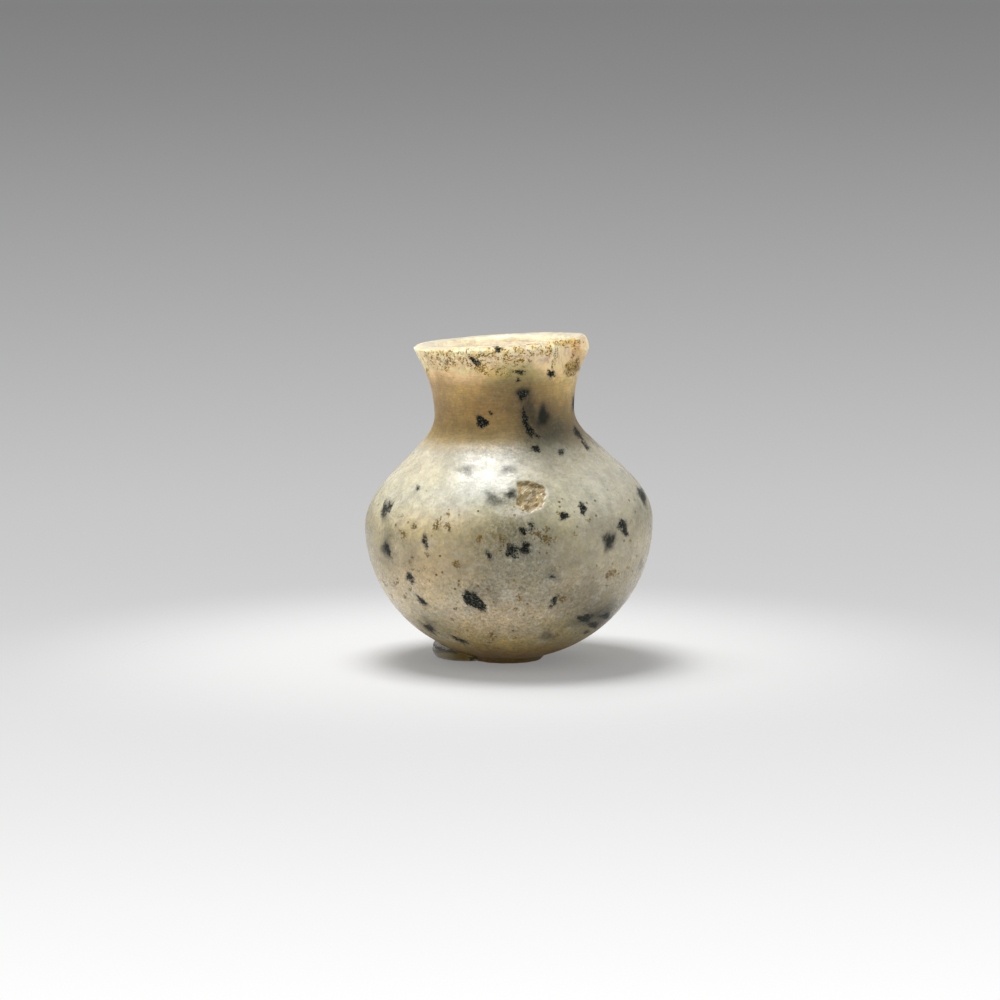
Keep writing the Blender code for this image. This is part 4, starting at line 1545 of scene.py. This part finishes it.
@dataclass
class WaxPad:
    """The dab of clear wax pressed under the jar's left side."""

    form: JarForm
    centre_x: float = -6.2
    centre_y: float = 1.4
    radius: float = 5.8
    height: float = 3.0
    rounding: float = 1.3
    gap: float = 0.12
    sharp_edge: float = math.radians(50.0)
    rim_steps: int = 12
    turn_steps: int = 96

    def build(self) -> bpy.types.Object:
        """Make the pad and cut it clear of the jar."""
        pad = self.rounded_disc()
        for cutter in (self.grown_body(), self.grown_foot()):
            cut = pad.modifiers.new("clear of " + cutter.name, "BOOLEAN")
            cut.operation = "DIFFERENCE"
            cut.solver = "EXACT"
            cut.object = cutter
        graph = bpy.context.evaluated_depsgraph_get()
        mesh = bpy.data.meshes.new_from_object(pad.evaluated_get(graph))
        for spare in [pad] + [cut.object for cut in pad.modifiers]:
            bpy.data.objects.remove(spare, do_unlink=True)
        mesh.name = "wax_pad"
        piece = bpy.data.objects.new("wax_pad", mesh)
        bpy.context.scene.collection.objects.link(piece)
        mesh.shade_smooth()
        mesh.set_sharp_from_angle(angle=self.sharp_edge)
        return piece

    def turned(self, name: str, section: list[tuple[float, float]]) -> bpy.types.Object:
        """Turn a closed section about Z and return its object, in metres."""
        solid = bmesh.new()
        corners = [solid.verts.new((radius * MM, 0.0, level * MM)) for radius, level in section]
        edges = [solid.edges.new(pair) for pair in zip(corners, corners[1:])]
        bmesh.ops.spin(solid, geom=corners + edges, cent=(0.0, 0.0, 0.0), axis=(0.0, 0.0, 1.0),
                       dvec=(0.0, 0.0, 0.0), angle=math.tau, steps=self.turn_steps, use_merge=True)
        bmesh.ops.remove_doubles(solid, verts=solid.verts, dist=0.000001)
        bmesh.ops.recalc_face_normals(solid, faces=solid.faces)
        mesh = bpy.data.meshes.new(name)
        solid.to_mesh(mesh)
        solid.free()
        piece = bpy.data.objects.new(name, mesh)
        bpy.context.scene.collection.objects.link(piece)
        return piece

    def rounded_disc(self) -> bpy.types.Object:
        """Return the whole pad before it is cut: a disc with a rounded rim."""
        steps = self.rim_steps
        rim = self.radius - self.rounding
        section = [(0.0, 0.0), (rim * 0.5, 0.0)]
        for step in range(2 * steps + 1):
            angle = math.pi * step / (2 * steps) - math.pi / 2.0
            rise = self.height / 2.0 + math.sin(angle) * self.height / 2.0
            section.append((rim + self.rounding * math.cos(angle), rise))
        section += [(rim * 0.5, self.height), (0.0, self.height)]
        disc = self.turned("wax_disc", section)
        disc.data.transform(Matrix.Translation((self.centre_x * MM, self.centre_y * MM, 0.0)))
        return disc

    def grown_body(self) -> bpy.types.Object:
        """Return the jar's lower body, grown by the gap."""
        form = self.form
        below = form.belly(form.belly_radius + self.gap, form.body_lift - self.gap)
        section = [tuple(point) for point in below[::3]]
        section[0] = (0.0, section[0][1])
        section.append((0.0, form.belly_level))
        body = self.turned("grown_body", section)
        lean = Matrix.Rotation(-form.lean, 4, "Y")
        body.data.transform(Matrix.Translation((form.axis_offset * MM, 0.0, 0.0)) @ lean)
        return body

    def grown_foot(self) -> bpy.types.Object:
        """Return the jar's foot, grown by the gap."""
        radius = self.form.foot_radius + self.gap
        section = [(0.0, -1.0), (radius, -1.0), (radius, 2.0), (0.0, 2.0)]
        return self.turned("grown_foot", section)


@dataclass
class Studio:
    """The pale floor, the soft light and the plain grey surroundings.

    The surroundings' tones are pairs of an elevation in degrees and a grey.
    """

    floor_radius: float = 150.0
    floor_solid: float = 24.0
    floor_fade: float = 95.0
    floor_white: float = 0.40
    floor_glow: float = 0.195
    tones: tuple[tuple[float, float], ...] = (
        (-15.0, 1.0), (-13.3, 0.93), (-11.7, 0.84), (-10.0, 0.765), (-9.2, 0.69), (-8.3, 0.63),
        (-7.8, 0.605), (-6.7, 0.57), (-3.4, 0.41), (0.0, 0.26), (1.5, 0.216), (6.0, 0.38),
        (16.0, 0.54), (45.0, 0.54), (90.0, 0.50))
    light_place: tuple[float, float, float] = (-38.0, 35.0, 286.0)
    light_target: tuple[float, float, float] = (0.0, 0.0, 20.0)
    light_wide: float = 140.0
    light_tall: float = 134.0
    light_watts: float = 1.17

    def build(self) -> None:
        """Make the floor, the surroundings and the light."""
        self.floor()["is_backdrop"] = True
        self.surroundings()
        self.softbox()
        bpy.context.scene.view_settings.view_transform = "Standard"

    def floor(self) -> bpy.types.Object:
        """Make the floor, a disc that fades into the surroundings."""
        disc = bmesh.new()
        bmesh.ops.create_circle(disc, cap_ends=True, segments=96, radius=self.floor_radius * MM)
        mesh = bpy.data.meshes.new("floor")
        disc.to_mesh(mesh)
        disc.free()
        floor = bpy.data.objects.new("floor", mesh)
        bpy.context.scene.collection.objects.link(floor)
        mesh.materials.append(self.floor_finish())
        return floor

    def floor_finish(self) -> bpy.types.Material:
        """Make the floor's matt white, which fades out with its radius."""
        graph = Graph("pale_floor")
        graph.set(Base_Color=(self.floor_white,) * 3 + (1.0,), Roughness=0.9, Specular_IOR_Level=0.0,
                  Emission_Color=(1.0, 1.0, 1.0, 1.0), Emission_Strength=self.floor_glow)
        away = graph.tree.nodes.new("ShaderNodeVectorMath")
        away.operation = "LENGTH"
        graph.link(graph.place, away.inputs[0])
        shown = graph.remap(away.outputs["Value"], self.floor_fade * MM, self.floor_solid * MM)
        graph.link(shown, graph.shader.inputs["Alpha"])
        return graph.material

    def surroundings(self) -> None:
        """Make the world: a grey that pales downwards, the same all round."""
        world = bpy.data.worlds.new("studio_grey")
        bpy.context.scene.world = world
        world.use_nodes = True
        tree = world.node_tree
        tree.nodes.clear()
        place = tree.nodes.new("ShaderNodeTexCoord")
        parts = tree.nodes.new("ShaderNodeSeparateXYZ")
        angle = tree.nodes.new("ShaderNodeMath")
        angle.operation = "ARCSINE"
        degrees = tree.nodes.new("ShaderNodeMapRange")
        low, high = self.tones[0][0], self.tones[-1][0]
        degrees.inputs["From Min"].default_value = math.radians(low)
        degrees.inputs["From Max"].default_value = math.radians(high)
        ramp = tree.nodes.new("ShaderNodeValToRGB")
        ramp.color_ramp.interpolation = "LINEAR"
        stops = ramp.color_ramp.elements
        while len(stops) < len(self.tones):
            stops.new(0.5)
        for stop, (elevation, _) in zip(stops, self.tones):
            stop.position = (elevation - low) / (high - low)
        for stop, (_, tone) in zip(stops, self.tones):
            stop.color = (tone, tone, tone, 1.0)
        back = tree.nodes.new("ShaderNodeBackground")
        out = tree.nodes.new("ShaderNodeOutputWorld")
        tree.links.new(place.outputs["Generated"], parts.inputs["Vector"])
        tree.links.new(parts.outputs["Z"], angle.inputs[0])
        tree.links.new(angle.outputs["Value"], degrees.inputs["Value"])
        tree.links.new(degrees.outputs["Result"], ramp.inputs["Fac"])
        tree.links.new(ramp.outputs["Color"], back.inputs["Color"])
        tree.links.new(back.outputs["Background"], out.inputs["Surface"])

    def softbox(self) -> None:
        """Make the broad soft light over the jar."""
        lamp = bpy.data.lights.new("overhead_softbox", "AREA")
        lamp.shape = "RECTANGLE"
        lamp.size = self.light_wide * MM
        lamp.size_y = self.light_tall * MM
        lamp.energy = self.light_watts
        box = bpy.data.objects.new("overhead_softbox", lamp)
        box.location = Vector(self.light_place) * MM
        away = Vector(self.light_place) - Vector(self.light_target)
        box.rotation_euler = away.to_track_quat("Z", "Y").to_euler()
        bpy.context.scene.collection.objects.link(box)


def corners() -> list[list[float]]:
    """Return the lowest and highest corner of what is shown, as plain lists."""
    return [[float(number) for number in corner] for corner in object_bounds()]


def main() -> None:
    """Build every piece in order and report each one."""
    logging.basicConfig(level=logging.INFO, format="%(name)s: %(message)s")
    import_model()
    form = JarForm()
    view = PhotoView()
    view.build()
    jar = StoneJar(form, view).build()
    jar.data.materials.append(StoneFinish().build())
    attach(jar, "root")
    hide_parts("stone_vessel")
    log.info("stone_jar: %d vertices", len(jar.data.vertices))
    pad = WaxPad(form).build()
    pad.data.materials.clear()
    pad.data.materials.append(WaxFinish().build())
    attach(pad, "root")
    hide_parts("clear_prop")
    log.info("wax_pad: %d vertices", len(pad.data.vertices))
    Studio().build()


if __name__ == "__main__":
    main()
